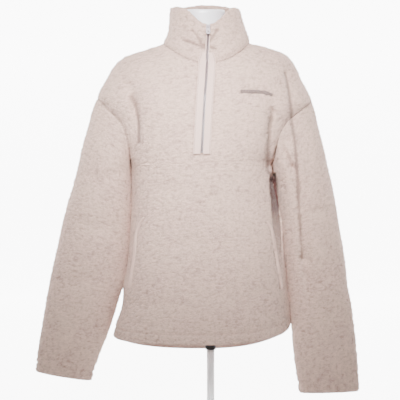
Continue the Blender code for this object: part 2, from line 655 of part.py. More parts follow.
def slider_and_pull(slider_material, pull_material):
    point, normal = zip_frame(3.0 + SLIDER_H, 0.0)
    lean = math.atan2(normal[2], -normal[1])
    out = 0.0004 + CHAIN_WALL + 0.0004 + SLIDER_THICK + BAIL_ROOM
    hinge = point + normal * out
    hinge[0] += GARMENT_X
    back = BAIL_ROOM
    body = box((-SLIDER_WIDTH / 2.0, back, -SLIDER_DOWN),
               (SLIDER_WIDTH / 2.0, back + SLIDER_THICK, SLIDER_UP))
    legs = BAIL_RUN + BAIL_WALL
    over = 0.0006
    lower = box((-BAIL_HALF, -back - BAIL_WALL, -legs), (BAIL_HALF, back + over, -BAIL_RUN))
    upper = box((-BAIL_HALF, -back - BAIL_WALL, BAIL_RUN), (BAIL_HALF, back + over, legs))
    arch = box((-BAIL_HALF, -back - BAIL_WALL, -legs + 0.0002), (BAIL_HALF, -back, legs - 0.0002))
    combine(lower, arch, "UNION")
    combine(lower, upper, "UNION")
    combine(body, lower, "UNION")
    tilt(body, -lean, hinge, False)
    finish(body, "zip_slider", slider_material)

    half = TAB_WALL / 2.0
    outline = [(-TAB_TOP_HALF, 0.0), (-TAB_TOP_HALF, -0.0055), (-TAB_HALF, -0.0080),
               (-TAB_HALF, -TAB_LENGTH + 0.0030), (-TAB_HALF + 0.0010, -TAB_LENGTH + 0.0009),
               (-TAB_HALF + 0.0031, -TAB_LENGTH)]
    outline += [(-x, z) for x, z in reversed(outline)]
    count = len(outline)
    points = [(x, -half, z) for x, z in outline] + [(x, half, z) for x, z in outline]
    faces = [tuple(range(count)), tuple(range(2 * count - 1, count - 1, -1))]
    for k in range(count):
        j = (k + 1) % count
        faces.append((k, k + count, j + count, j))
    tab = make_object("zip_pull", points, faces, pull_material)
    window = box((-TAB_WINDOW_HALF, -0.002, -TAB_WINDOW_END), (TAB_WINDOW_HALF, 0.002, 0.002))
    combine(tab, window, "DIFFERENCE")
    hole = rod("y", TAB_HOLE_RADIUS, -0.002, 0.002, 20)
    for vertex in hole.data.vertices:
        vertex.co.z -= TAB_HOLE_DROP
    combine(tab, hole, "DIFFERENCE")
    bar = rod("x", TAB_BAR_RADIUS, -TAB_TOP_HALF, TAB_TOP_HALF, 16)
    combine(tab, bar, "UNION")
    tilt(tab, -lean, hinge, True)
    finish(tab, "zip_pull", pull_material)


def material(name, colour, roughness, metallic):
    item = bpy.data.materials.new(name)
    item.use_nodes = True
    shader = item.node_tree.nodes["Principled BSDF"]
    shader.inputs["Base Color"].default_value = (*colour, 1.0)
    shader.inputs["Roughness"].default_value = roughness
    shader.inputs["Metallic"].default_value = metallic
    return item


clear_scene()
KEYS = row_keys()
FLEECE = (0.66, 0.56, 0.52)
TAPE = (0.78, 0.70, 0.66)

front = front_grid(KEYS)
back = back_grid(KEYS)
collar = collar_grid()
right = sleeve_grid(SLEEVE_RIGHT, -1.0, front, back, KEYS)
left = sleeve_grid(SLEEVE_LEFT, 1.0, front, back, KEYS)

front_mask = np.ones((front.shape[0] - 1, front.shape[1] - 1), bool)
front_mask[SLIT_ROW:, FRONT_HALF] = False
back_mask = np.ones((back.shape[0] - 1, back.shape[1] - 1), bool)
collar_mask = np.ones((collar.shape[0] - 1, collar.shape[1] - 1), bool)
ring_mask = np.ones((SLEEVE_ROWS, 2 * ARM_ROWS), bool)

pieces = {}
for piece_name, grid, cell_mask, closed, turn, group in (
        ("front", front, front_mask, False, 1.0, "body"),
        ("back", back, back_mask, False, 1.0, "body"),
        ("collar", collar, collar_mask, False, 1.0, "collar"),
        ("sleeve_right", right, ring_mask, True, -1.0, "sleeve"),
        ("sleeve_left", left, ring_mask, True, 1.0, "sleeve")):
    pieces[piece_name] = {"grid": grid, "cells": face_list(grid, cell_mask, closed),
                          "turn": turn, "group": group}
shared_normals(list(pieces.values()))

body_wall = np.full((front.shape[0], 1), WALL)
body_wall[:2] = HEM_WALL
sleeve_wall = np.full((SLEEVE_ROWS + 1, 1), WALL)
sleeve_wall[-2:] = HEM_WALL
collar_wall = np.full((COLLAR_ROWS + 1, 1), COLLAR_WALL)
collar_wall[0] = WALL
walls = {"front": body_wall, "back": body_wall, "collar": collar_wall,
         "sleeve_right": sleeve_wall, "sleeve_left": sleeve_wall}
for piece_name, piece in pieces.items():
    shade = material(piece_name + "_fleece", FLEECE, 0.95, 0.0)
    cloth(piece_name, piece, walls[piece_name], shade)

body_keys = np.concatenate([np.linspace(1.17, 2.97, 22), np.linspace(3.02, 3.97, 9)])
for side, sign in (("right", -1.0), ("left", 1.0)):
    tape_rows = []
    for key in body_keys:
        outer_edge = TAPE_HALF if key < 2.9 else SLIT - 0.0005
        lateral = np.linspace(CHAIN_HALF + 0.0006, outer_edge, 4)
        tape_rows.append([zip_frame(key, sign * offset) for offset in lateral])
    shade = material("zip_tape_" + side, TAPE, 0.7, 0.0)
    strip("zip_tape_" + side, tape_rows, TAPE_WALL, 0.0006, shade)

chain_rows = []
for key in np.concatenate([np.linspace(1.23, 2.97, 22), np.linspace(3.02, 3.95, 9)]):
    chain_rows.append([zip_frame(key, offset) for offset in (-CHAIN_HALF, 0.0, CHAIN_HALF)])
strip("zip_chain", chain_rows, CHAIN_WALL, 0.0002, material("zip_chain", TAPE, 0.6, 0.0))
slider_and_pull(material("zip_slider", (0.80, 0.78, 0.76), 0.4, 0.0),
                material("zip_pull", (0.82, 0.80, 0.78), 0.4, 0.0))

welt("pocket_welt_right", WELT_RIGHT, material("pocket_welt_right", TAPE, 0.8, 0.0))
welt("pocket_welt_left", WELT_LEFT, material("pocket_welt_left", TAPE, 0.8, 0.0))

form_body(material("form_torso", (0.85, 0.84, 0.86), 0.45, 0.0))
FORM_FOOT = float(FORM[0, 3])
FITTING_FOOT = 0.142
lathe("form_fitting", [(FITTING_RADIUS - 0.001, FITTING_FOOT), (FITTING_RADIUS, FITTING_FOOT + 0.001),
                       (FITTING_RADIUS, FORM_FOOT - 0.0015), (FITTING_RADIUS - 0.001, FORM_FOOT - 0.0005)],
      32, material("form_fitting", (0.03, 0.03, 0.03), 0.4, 0.0))
lathe("stand_pole", [(POLE_RADIUS, BASE_HEIGHT + 0.0005), (POLE_RADIUS, FITTING_FOOT - 0.0005)],
      32, material("stand_pole", (0.85, 0.85, 0.85), 0.35, 0.0))
lathe("stand_base", [(BASE_RADIUS - 0.0015, 0.0), (BASE_RADIUS, 0.0015), (BASE_RADIUS, 0.007),
                     (BASE_RADIUS - 0.003, 0.0100), (BASE_RADIUS - 0.010, BASE_HEIGHT)],
      64, material("stand_base", (0.85, 0.85, 0.85), 0.4, 0.0))
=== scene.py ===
"""Half-zip high-pile fleece pullover on a limbless dress form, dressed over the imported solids."""

import math

import bmesh
import bpy
import numpy as np
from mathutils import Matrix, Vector


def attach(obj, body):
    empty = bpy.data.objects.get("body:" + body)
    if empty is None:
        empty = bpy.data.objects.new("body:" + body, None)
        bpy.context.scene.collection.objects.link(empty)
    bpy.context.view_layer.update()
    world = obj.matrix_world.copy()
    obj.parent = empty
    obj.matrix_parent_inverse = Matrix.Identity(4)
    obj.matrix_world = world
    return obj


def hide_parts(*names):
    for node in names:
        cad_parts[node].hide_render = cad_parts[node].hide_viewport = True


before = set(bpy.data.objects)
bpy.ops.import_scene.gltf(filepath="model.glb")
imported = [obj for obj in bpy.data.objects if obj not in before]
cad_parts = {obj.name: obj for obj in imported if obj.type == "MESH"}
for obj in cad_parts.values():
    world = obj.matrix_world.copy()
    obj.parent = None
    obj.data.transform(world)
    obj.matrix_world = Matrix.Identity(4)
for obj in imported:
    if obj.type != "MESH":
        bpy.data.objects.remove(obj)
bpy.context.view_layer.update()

# ---------------------------------------------------------------------------
# Front and back panels
# High-pile fleece (sherpa): polyester curls 4 mm deep on a knitted back. The front is one piece,
# slit from the neck for the zip. The back is one piece. The hem is turned up and top-stitched.
# ---------------------------------------------------------------------------
GARMENT_MIDDLE = np.array([-0.016, 0.0, 0.0])   # the garment's middle line from the pole's axis
ARMHOLE_DEPTH = 0.066   # half of the armhole, front to back
SLIT = 0.0048           # half of the opening for the zip
SLIT_KEY = 1.17         # where the slit starts
TAPE_HALF = 0.0178      # middle line to outer edge of a zip tape
WALL = 0.0038           # fleece with its knitted back
HEM_WALL = 0.0054       # turned hem and cuffs
HEM_STITCH = 0.020      # hem's stitch line above its edge
PILE = 0.0044           # deepest valley to highest curl
PILE_MIDDLE = 0.42      # height of the curls, 0 to 1, that lies on the cloth's own surface
PILE_INSIDE = 0.35      # height that the plain knitted inside is coloured as
SEAM_GROOVE = 0.0008    # depth of the groove beside a seam
SHARP = 0.005           # a fold no wider than this gets painted shade along it

# s 0..1 hem to underarm, 1..2 armhole, 2..3 shoulder tip to neck
TORSO = np.array([
    # s    x_right x_left z_right z_left y_front z_front y_back z_back x_middle power
    [0.00, 0.1870, 0.1815, 0.1720, 0.1955, 0.1350, 0.1640, 0.1350, 0.1310, -0.0020, 2.40],
    [0.06, 0.1815, 0.1800, 0.1950, 0.2120, 0.1340, 0.1880, 0.1340, 0.1620, -0.0021, 2.40],
    [0.14, 0.1705, 0.1780, 0.2250, 0.2320, 0.1330, 0.2210, 0.1330, 0.2050, -0.0023, 2.40],
    [0.27, 0.1640, 0.1745, 0.2710, 0.2730, 0.1310, 0.2710, 0.1310, 0.2640, -0.0026, 2.40],
    [0.41, 0.1565, 0.1705, 0.3210, 0.3210, 0.1290, 0.3210, 0.1290, 0.3180, -0.0029, 2.40],
    [0.60, 0.1503, 0.1640, 0.3885, 0.3885, 0.1260, 0.3885, 0.1240, 0.3880, -0.0032, 2.40],
    [0.70, 0.1480, 0.1598, 0.4240, 0.4240, 0.1250, 0.4240, 0.1220, 0.4240, -0.0034, 2.40],
    [0.79, 0.1468, 0.1545, 0.4560, 0.4560, 0.1240, 0.4560, 0.1200, 0.4560, -0.0035, 2.40],
    [0.92, 0.1472, 0.1474, 0.5000, 0.5000, 0.1240, 0.5000, 0.1170, 0.5010, -0.0035, 2.40],
    [1.00, 0.1500, 0.1445, 0.5250, 0.5250, 0.1240, 0.5260, 0.1150, 0.5270, -0.0034, 2.40],
    [1.12, 0.1565, 0.1530, 0.5420, 0.5410, 0.1240, 0.5430, 0.1145, 0.5430, -0.0031, 2.37],
    [1.30, 0.1690, 0.1670, 0.5685, 0.5665, 0.1230, 0.5635, 0.1140, 0.5660, -0.0022, 2.30],
    [1.50, 0.1830, 0.1830, 0.5975, 0.5945, 0.1210, 0.5840, 0.1135, 0.5920, -0.0010, 2.20],
    [1.70, 0.1975, 0.2010, 0.6265, 0.6225, 0.1185, 0.6050, 0.1130, 0.6200, 0.0002, 2.10],
    [1.88, 0.2155, 0.2230, 0.6525, 0.6475, 0.1155, 0.6250, 0.1125, 0.6450, 0.0012, 2.00],
    [2.00, 0.2205, 0.2280, 0.6700, 0.6640, 0.1130, 0.6400, 0.1120, 0.6620, 0.0021, 2.00],
    [2.12, 0.2125, 0.2170, 0.6910, 0.6880, 0.1095, 0.6585, 0.1100, 0.6840, 0.0032, 2.00],
    [2.24, 0.2020, 0.2060, 0.7080, 0.7080, 0.1055, 0.6760, 0.1070, 0.7040, 0.0044, 2.00],
    [2.36, 0.1930, 0.1990, 0.7245, 0.7245, 0.1010, 0.6905, 0.1025, 0.7220, 0.0056, 2.00],
    [2.50, 0.1810, 0.1885, 0.7410, 0.7425, 0.0955, 0.7045, 0.0965, 0.7410, 0.0067, 2.00],
    [2.66, 0.1600, 0.1700, 0.7555, 0.7605, 0.0890, 0.7180, 0.0860, 0.7600, 0.0073, 2.05],
    [2.83, 0.1220, 0.1340, 0.7696, 0.7735, 0.0830, 0.7285, 0.0730, 0.7780, 0.0080, 2.15],
    [3.00, 0.0840, 0.0980, 0.7830, 0.7840, 0.0770, 0.7380, 0.0600, 0.7970, 0.0085, 2.20],
])

# Folds pushed into the cloth along Y: facing -1 front, +1 back
FOLDS = [
    # facing, depth, width, points as x, z
    (-1, 0.0060, 0.010, [(0.176, 0.722), (0.184, 0.690), (0.190, 0.650), (0.198, 0.580)]),
    (-1, 0.0060, 0.010, [(0.198, 0.580), (0.202, 0.530), (0.209, 0.414), (0.214, 0.330)]),
    (-1, 0.0025, 0.014, [(0.214, 0.330), (0.222, 0.250), (0.229, 0.183)]),
    (-1, 0.0062, 0.014, [(0.142, 0.655), (0.140, 0.600), (0.139, 0.530)]),
    (-1, 0.0055, 0.015, [(-0.133, 0.690), (-0.140, 0.620), (-0.146, 0.555)]),
    (-1, 0.0025, 0.009, [(-0.150, 0.246), (-0.110, 0.240), (-0.072, 0.247)]),
    (-1, 0.0020, 0.009, [(-0.158, 0.207), (-0.112, 0.200), (-0.080, 0.206)]),
    (-1, 0.0028, 0.010, [(0.095, 0.232), (0.130, 0.224), (0.165, 0.238)]),
    (-1, 0.0030, 0.012, [(-0.262, 0.420), (-0.225, 0.395), (-0.190, 0.402)]),
    (-1, 0.0030, 0.012, [(-0.300, 0.300), (-0.262, 0.282), (-0.222, 0.292)]),
    (1, 0.0065, 0.014, [(-0.138, 0.680), (-0.142, 0.610), (-0.146, 0.545)]),
    (1, 0.0065, 0.014, [(0.146, 0.690), (0.143, 0.610), (0.141, 0.540)]),
    (1, 0.0045, 0.013, [(-0.190, 0.640), (-0.205, 0.540), (-0.222, 0.430), (-0.238, 0.340)]),
    (1, 0.0045, 0.013, [(0.192, 0.640), (0.204, 0.540), (0.217, 0.420), (0.226, 0.320)]),
    (1, 0.0035, 0.012, [(-0.120, 0.330), (-0.060, 0.316), (0.000, 0.322), (0.060, 0.312)]),
    (1, 0.0030, 0.011, [(-0.080, 0.240), (0.000, 0.232), (0.090, 0.246)]),
    (1, 0.0035, 0.016, [(-0.050, 0.700), (0.000, 0.690), (0.055, 0.702)]),
    # sharper creases inside the broad ones; those up to 5 mm wide also get painted shade along them
    (-1, 0.0070, 0.0048, [(0.142, 0.640), (0.136, 0.600), (0.1345, 0.560), (0.1345, 0.512)]),
    (-1, 0.0075, 0.0048, [(0.169, 0.718), (0.175, 0.688), (0.181, 0.640), (0.188, 0.580),
                          (0.193, 0.525)]),
    (-1, 0.0070, 0.0050, [(0.193, 0.525), (0.200, 0.413), (0.205, 0.335)]),
    (-1, 0.0035, 0.0060, [(0.205, 0.335), (0.216, 0.270)]),
    (-1, 0.0060, 0.0026, [(0.1444, 0.3513), (0.1493, 0.3247)]),
    (-1, 0.0055, 0.0024, [(0.1572, 0.3001), (0.1578, 0.2735)]),
    (-1, 0.0065, 0.0050, [(-0.146, 0.668), (-0.136, 0.640), (-0.1315, 0.615), (-0.1315, 0.575)]),
    (-1, 0.0040, 0.0090, [(-0.150, 0.690), (-0.139, 0.650), (-0.136, 0.610), (-0.139, 0.560)]),
    (-1, 0.0030, 0.0100, [(-0.160, 0.700), (-0.150, 0.672), (-0.142, 0.640)]),
    # soft waves low on the body, round the pockets and down the sleeves
    (-1, 0.0022, 0.010, [(0.040, 0.262), (0.090, 0.250), (0.128, 0.262)]),
    (-1, 0.0020, 0.012, [(-0.060, 0.360), (-0.020, 0.372), (0.030, 0.362)]),
    (-1, 0.0018, 0.012, [(0.010, 0.452), (0.060, 0.466), (0.110, 0.456)]),
    (-1, 0.0018, 0.012, [(-0.110, 0.486), (-0.070, 0.474), (-0.030, 0.480)]),
    (-1, 0.0026, 0.009, [(0.232, 0.160), (0.262, 0.150), (0.300, 0.162)]),
    (-1, 0.0026, 0.010, [(0.215, 0.300), (0.250, 0.290), (0.285, 0.306)]),
    (-1, 0.0024, 0.010, [(0.205, 0.440), (0.235, 0.428), (0.265, 0.440)]),
    (-1, 0.0026, 0.009, [(-0.320, 0.190), (-0.285, 0.176), (-0.250, 0.184)]),
    (-1, 0.0026, 0.010, [(-0.245, 0.510), (-0.215, 0.500), (-0.180, 0.512)]),
    (1, 0.0030, 0.010, [(-0.300, 0.250), (-0.265, 0.238), (-0.225, 0.246)]),
    (1, 0.0030, 0.010, [(0.210, 0.260), (0.245, 0.248), (0.290, 0.262)]),
    (1, 0.0028, 0.012, [(-0.060, 0.420), (0.010, 0.432), (0.080, 0.420)]),
]


def smooth(x):
    """0 below 0, 1 above 1, and 3x^2 - 2x^3 between."""
    x = np.clip(x, 0.0, 1.0)
    return x * x * (3.0 - 2.0 * x)


def read(table, column, t):
    """Smooth curve through one column of a table: cubic Hermite pieces with central slopes."""
    key = table[:, 0]
    value = table[:, column]
    slope = np.gradient(value, key)
    t = np.clip(np.asarray(t, float), key[0], key[-1])
    i = np.clip(np.searchsorted(key, t, side="right") - 1, 0, len(key) - 2)
    step = key[i + 1] - key[i]
    u = (t - key[i]) / step
    a = (1.0 + 2.0 * u) * (1.0 - u) ** 2 * value[i]
    b = u * (1.0 - u) ** 2 * step * slope[i]
    c = u * u * (3.0 - 2.0 * u) * value[i + 1]
    d = u * u * (u - 1.0) * step * slope[i + 1]
    return a + b + c + d


def ring(table, t, angle, power, dip=1.0, bow=1.0):
    """Points round a level of the body: a superellipse of two half widths and two depths, whose
    height runs from the side's to the middle's with the cosine's power. 0 is the front."""
    sine = np.sin(angle)
    cosine = np.cos(angle)
    side = np.where(sine < 0.0, -read(table, 1, t), read(table, 2, t))
    z_side = np.where(sine < 0.0, read(table, 3, t), read(table, 4, t))
    front_half = cosine > 0.0
    y_mid = np.where(front_half, -read(table, 5, t), read(table, 7, t))
    z_mid = np.where(front_half, read(table, 6, t), read(table, 8, t))
    weight = np.abs(cosine) ** (2.0 * bow)
    weight = np.where(front_half, weight ** dip, weight)
    x = side * np.abs(sine) ** (2.0 / power) + read(table, 9, t) * np.abs(cosine) ** 2
    y = y_mid * np.abs(cosine) ** (2.0 / power)
    z = z_side + (z_mid - z_side) * weight
    return np.stack([x, y, z], axis=-1)


def line_distance(points, path):
    """Distance in the XZ plane from a line of straight runs."""
    flat = points[..., ::2]
    path = np.array(path)
    best = np.full(flat.shape[:-1], 1.0)
    for a, b in zip(path[:-1], path[1:]):
        run = b - a
        share = np.clip(((flat - a) @ run) / (run @ run), 0.0, 1.0)
        best = np.minimum(best, np.linalg.norm(flat - a - share[..., None] * run, axis=-1))
    return best


def crease(points, folds):
    """Move the cloth along Y by each fold's depth times exp(-(distance/width)^2). A fold fades out
    from 47 to 12 mm off the plane of the side seams."""
    out = points.copy()
    for facing, depth, width, path in folds:
        faces = smooth((facing * points[..., 1] - 0.012) / 0.035)
        out[..., 1] -= facing * depth * np.exp(-(line_distance(points, path) / width) ** 2) * faces
    return out


# How far each side of the body and the sleeve beside it lean on each other, by height
LEAN_RIGHT = np.array([[0.262, 0.0], [0.285, 0.0040], [0.310, 0.0032],
                       [0.490, 0.0034], [0.512, 0.0022], [0.525, 0.0]])
LEAN_LEFT = np.array([[0.188, 0.0], [0.212, 0.0031], [0.420, 0.0032],
                      [0.470, 0.0034], [0.505, 0.0018], [0.520, 0.0]])


def lean(points, sign):
    """How far the cloth moves at each height towards the sleeve or the body beside it."""
    table = LEAN_RIGHT if sign < 0 else LEAN_LEFT
    return np.interp(points[..., 2], table[:, 0], table[:, 1])


def sides_out(points):
    """The body's sides lean on the sleeves: the push fades out over 50 mm to the front and back."""
    out = points.copy()
    for sign in (-1.0, 1.0):
        beside = smooth(1.0 - np.abs(points[..., 1]) / 0.050) * (sign * points[..., 0] > 0.10)
        out[..., 0] += sign * lean(points, sign) * beside
    return out


def recess(points):
    """Where the cloth under the wearer's left arm falls back, 0 to 1: between a line beside the
    chest and one along the sleeve, most just below the arm and little at the pocket. The same share
    sets the painted shade on that cloth."""
    x, y, z = (points[..., i] for i in range(3))
    deep = np.interp(z, [0.270, 0.330, 0.370, 0.400, 0.440, 0.497, 0.514],
                     [0.0, 0.16, 0.28, 0.50, 0.92, 1.0, 0.0])
    start = np.interp(z, [0.270, 0.400, 0.500], [0.1520, 0.1400, 0.1345])
    end = np.interp(z, [0.400, 0.450, 0.500], [0.1640, 0.1600, 0.1530])
    return deep * smooth((x - start) / 0.0045) * smooth((end - x) / 0.003) * (y < 0.003)


def fall_back(points):
    """The cloth with its recess moved up to 26 mm back along Y, but no nearer than 3 mm to the
    plane of the side seams, and the recess's share, which sets the painted shade there."""
    shade = recess(points)
    out = points.copy()
    y = points[..., 1]
    out[..., 1] = np.minimum(y + 0.026 * shade, np.maximum(y, -0.003))
    return out, shade


def scatter(cell):
    """Three repeatable numbers from 0 to 1 for each whole-number cell: the fraction of a large sine."""
    mix = cell @ np.array([[127.1, 269.5, 419.2], [311.7, 183.3, 371.9], [74.7, 246.1, 124.6]])
    return np.modf(np.abs(np.sin(mix) * 43758.5453))[0]


def drift(points, size):
    """Soft three-way wander from -0.5 to 0.5: random values on a lattice, smoothly mixed."""
    place = points / size
    base = np.floor(place)
    share = smooth(place - base)
    total = np.zeros(points.shape)
    for corner in np.ndindex(2, 2, 2):
        weight = np.prod(np.where(corner, share, 1.0 - share), axis=-1)
        total += weight[..., None] * scatter(base + corner)
    return total - 0.5


def nubs(points, size):
    """Domes, 1 at the top: one minus 1.1 times the distance to the nearest scattered point."""
    place = points / size
    base = np.floor(place)
    best = np.full(points.shape[:-1], 4.0)
    for corner in np.ndindex(3, 3, 3):
        cell = base + np.array(corner) - 1.0
        gap = place - cell - 0.15 - 0.7 * scatter(cell)
        best = np.minimum(best, (gap * gap).sum(axis=-1))
    return np.clip(1.0 - 1.1 * np.sqrt(best), 0.0, 1.0)


def curls(points):
    """Height of the pile, 0 to 1: wandering nubs 11.5 mm wide and 5 mm tall, and smaller ones,
    from another place in the pattern, on them."""
    bent = points + drift(points, 0.016) * 0.010
    large = nubs(bent, np.array([0.0115, 0.0115, 0.0052]))
    small = nubs(bent + 0.37, np.array([0.0066, 0.0066, 0.0036]))
    return 0.10 + 0.46 * large + 0.44 * small


def unit(vectors):
    """Vectors divided by their own length."""
    return vectors / np.maximum(np.linalg.norm(vectors, axis=-1), 1e-12)[..., None]


def outward(grid, wrap, turn):
    """Unit normals of a grid from its central differences. turn is -1 where it runs backwards."""
    across = np.roll(grid, -1, 1) - np.roll(grid, 1, 1) if wrap else np.gradient(grid, axis=1)
    return unit(np.cross(across, np.gradient(grid, axis=0)) * turn)


def from_edges(grid):
    """Lengths along the cloth from a grid's first and last column and its first and last row."""
    wide = np.linalg.norm(np.diff(grid, axis=1), axis=-1)
    tall = np.linalg.norm(np.diff(grid, axis=0), axis=-1)
    left = np.concatenate([np.zeros((len(grid), 1)), np.cumsum(wide, axis=1)], axis=1)
    low = np.concatenate([np.zeros((1, grid.shape[1])), np.cumsum(tall, axis=0)], axis=0)
    return left, left[:, -1:] - left, low, low[-1:] - low


def cells_of(rows, columns, wrap, turn, holes=None):
    """Four-cornered cells of a grid, wound to face outwards."""
    index = np.arange(rows * columns).reshape(rows, columns)
    beside = np.roll(index, -1, axis=1)
    cells = np.stack([index[:-1], beside[:-1], beside[1:], index[1:]], axis=-1)
    if not wrap:
        cells = cells[:, :-1]
    cells = cells.reshape(-1, 4) if holes is None else cells[~holes]
    return cells if turn > 0 else cells[:, ::-1]


def walled(outer, inner, wrap, turn, holes=None):
    """Closed wall from an outer and an inner grid, set on the garment's middle line: both faces,
    and a rim along every free edge. The third result says which points of the grids it uses."""
    count = outer.shape[0] * outer.shape[1]
    cells = cells_of(outer.shape[0], outer.shape[1], wrap, turn, holes)
    edges = np.concatenate([cells[:, [i, (i + 1) % 4]] for i in range(4)])
    free = ~np.isin(edges[:, 0] * count + edges[:, 1], edges[:, 1] * count + edges[:, 0])
    a, b = edges[free].T
    rim = np.stack([b, a, a + count, b + count], axis=1)
    faces = np.concatenate([cells, cells[:, ::-1] + count, rim])
    points = np.concatenate([outer.reshape(-1, 3), inner.reshape(-1, 3)]) + GARMENT_MIDDLE
    used, faces = np.unique(faces, return_inverse=True)
    return points[used], faces.reshape(-1, 4).tolist(), used


def show(name, mesh, material):
    """A mesh as an object at the origin, with smooth faces and one material."""
    mesh.polygons.foreach_set("use_smooth", np.ones(len(mesh.polygons), bool))
    mesh.materials.append(material)
    shown = bpy.data.objects.new(name, mesh)
    bpy.context.scene.collection.objects.link(shown)
    return shown


def make_piece(name, points, faces, material, **values):
    """A piece that stays where it is, from points and faces, with named values at its points."""
    mesh = bpy.data.meshes.new(name)
    mesh.from_pydata(points.tolist(), [], faces)
    for key, value in values.items():
        mesh.attributes.new(key, "FLOAT", "POINT").data.foreach_set("value", value.astype(np.float32))
    piece = show(name, mesh, material)
    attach(piece, "garment_on_form")
    return piece


def linear(colour):
    """An sRGB hex value as linear light."""
    parts = np.array([int(colour[i:i + 2], 16) for i in (1, 3, 5)]) / 255.0
    curve = np.where(parts <= 0.04045, parts / 12.92, ((parts + 0.055) / 1.055) ** 2.4)
    return (*curve.tolist(), 1.0)


def add(tree, kind, inputs=(), **settings):
    """Add one shader node. Settings are its attributes, inputs are pairs of socket and value or link."""
    made = tree.nodes.new(kind)
    for key, value in settings.items():
        setattr(made, key, value)
    for socket, value in inputs:
        if isinstance(value, bpy.types.NodeSocket):
            tree.links.new(value, made.inputs[socket])
        else:
            made.inputs[socket].default_value = value
    return made


def new_material(name, **sockets):
    """A Principled material with plain values on its own sockets. Returns it, its tree and shader."""
    made = bpy.data.materials.new(name)
    made.use_nodes = True
    shader = made.node_tree.nodes["Principled BSDF"]
    for key, value in sockets.items():
        shader.inputs[key.replace("_", " ")].default_value = value
    return made, made.node_tree, shader


def fleece_material(name, tip, valley_shade):
    """Curly polyester sherpa, brushed and tumbled: matt, soft at the rim, with painted shade between
    the curls and dark brown painted shade in the recess.
    """
    made, tree, shader = new_material(
        name, Roughness=0.92, Specular_IOR_Level=0.15, Sheen_Weight=0.25, Sheen_Roughness=0.55,
        Sheen_Tint=linear("#f6e6df"))
    place = add(tree, "ShaderNodeTexCoord").outputs["Object"]
    nap = add(tree, "ShaderNodeAttribute", attribute_name="nap").outputs["Fac"]
    # locks of fibre lie in wavy rows across the cloth, about 6 mm wide and 3 mm tall
    rows = add(tree, "ShaderNodeMapping", [("Vector", place), ("Scale", (1.0, 1.0, 2.0))])
    streaks = add(tree, "ShaderNodeTexNoise", [
        ("Vector", rows.outputs["Vector"]), ("Scale", 165.0), ("Detail", 3.0), ("Roughness", 0.62),
        ("Distortion", 0.8)])
    # loops and loose fibre are drawn 2.3 mm and 1.1 mm wide, coarse enough to show
    loops = add(tree, "ShaderNodeTexVoronoi", [("Vector", place), ("Scale", 430.0), ("Randomness", 1.0)],
                feature="SMOOTH_F1")
    fuzz = add(tree, "ShaderNodeTexNoise", [("Vector", place), ("Scale", 900.0), ("Detail", 3.0),
                                            ("Roughness", 0.6), ("Distortion", 0.4)])
    # dye takes a little unevenly, in patches of about 60 mm
    patch = add(tree, "ShaderNodeTexNoise", [("Vector", place), ("Scale", 16.0), ("Detail", 2.0)])
    # painted shade: the colour runs from the valleys' shade up to the tips' colour with the curls'
    # height, and falls between the loops and the rows of locks
    depth = add(tree, "ShaderNodeMapRange", [("Value", nap), ("From Min", -0.12), ("From Max", 0.66)],
                interpolation_type="SMOOTHSTEP")
    light_rows = add(tree, "ShaderNodeMapRange", [
        ("Value", streaks.outputs["Fac"]), ("From Min", 0.32), ("From Max", 0.68), ("To Min", -0.22),
        ("To Max", 0.22)])
    fine = add(tree, "ShaderNodeMath", [(0, loops.outputs["Distance"]), (1, -0.40),
                                        (2, light_rows.outputs["Result"])], operation="MULTIPLY_ADD")
    share = add(tree, "ShaderNodeMath", [(0, depth.outputs["Result"]), (1, fine.outputs["Value"])],
                operation="ADD", use_clamp=True)
    pile = add(tree, "ShaderNodeMix", [("Factor", share.outputs["Value"]), ("A", linear(valley_shade)),
                                       ("B", linear(tip))], data_type="RGBA")
    warm = add(tree, "ShaderNodeMapRange", [("Value", patch.outputs["Fac"]), ("From Min", 0.35),
                                            ("From Max", 0.65), ("To Min", 0.0), ("To Max", 0.12)])
    tint = add(tree, "ShaderNodeMix", [("Factor", warm.outputs["Result"]), ("A", pile.outputs["Result"]),
                                       ("B", linear("#d8bfa6"))], data_type="RGBA")
    # painted shade: where the recess lies in shade, the pile's colour is mixed towards dark brown
    deep = add(tree, "ShaderNodeMapRange", [("Value", nap), ("From Min", -0.42), ("From Max", -0.02),
                                            ("To Min", 1.0), ("To Max", 0.0)])
    painted_shade_mix = add(tree, "ShaderNodeMix", [("Factor", deep.outputs["Result"]), ("A", tint.outputs["Result"]),
                                       ("B", linear("#4d2f2c"))], data_type="RGBA")
    tree.links.new(painted_shade_mix.outputs["Result"], shader.inputs["Base Color"])
    curl = add(tree, "ShaderNodeBump", [("Height", streaks.outputs["Fac"]), ("Strength", 0.55),
                                        ("Distance", 0.0030)])
    low = add(tree, "ShaderNodeBump", [
        ("Height", loops.outputs["Distance"]), ("Strength", 0.45), ("Distance", 0.0016),
        ("Normal", curl.outputs["Normal"])], invert=True)
    high = add(tree, "ShaderNodeBump", [("Height", fuzz.outputs["Fac"]), ("Strength", 0.35),
                                        ("Distance", 0.0008), ("Normal", low.outputs["Normal"])])
    tree.links.new(high.outputs["Normal"], shader.inputs["Normal"])
    return made


def edge_angle(s, depth, power):
    """How far from the middle a panel runs at each row: a right angle, less in the armhole."""
    turn = np.arccos(np.clip(1.0 - 2.0 * (np.clip(s, 1.0, 2.0) - 1.0), -1.0, 1.0))
    share = ARMHOLE_DEPTH * np.sin(turn) / depth
    return np.arccos(np.clip(share, 0.0, 1.0) ** (power / 2.0))


def slit_angle(width, power):
    """The angle of the slit's edge: its sine is (half opening / half width)^(power/2)."""
    return np.arcsin((SLIT / width) ** (power / 2.0))


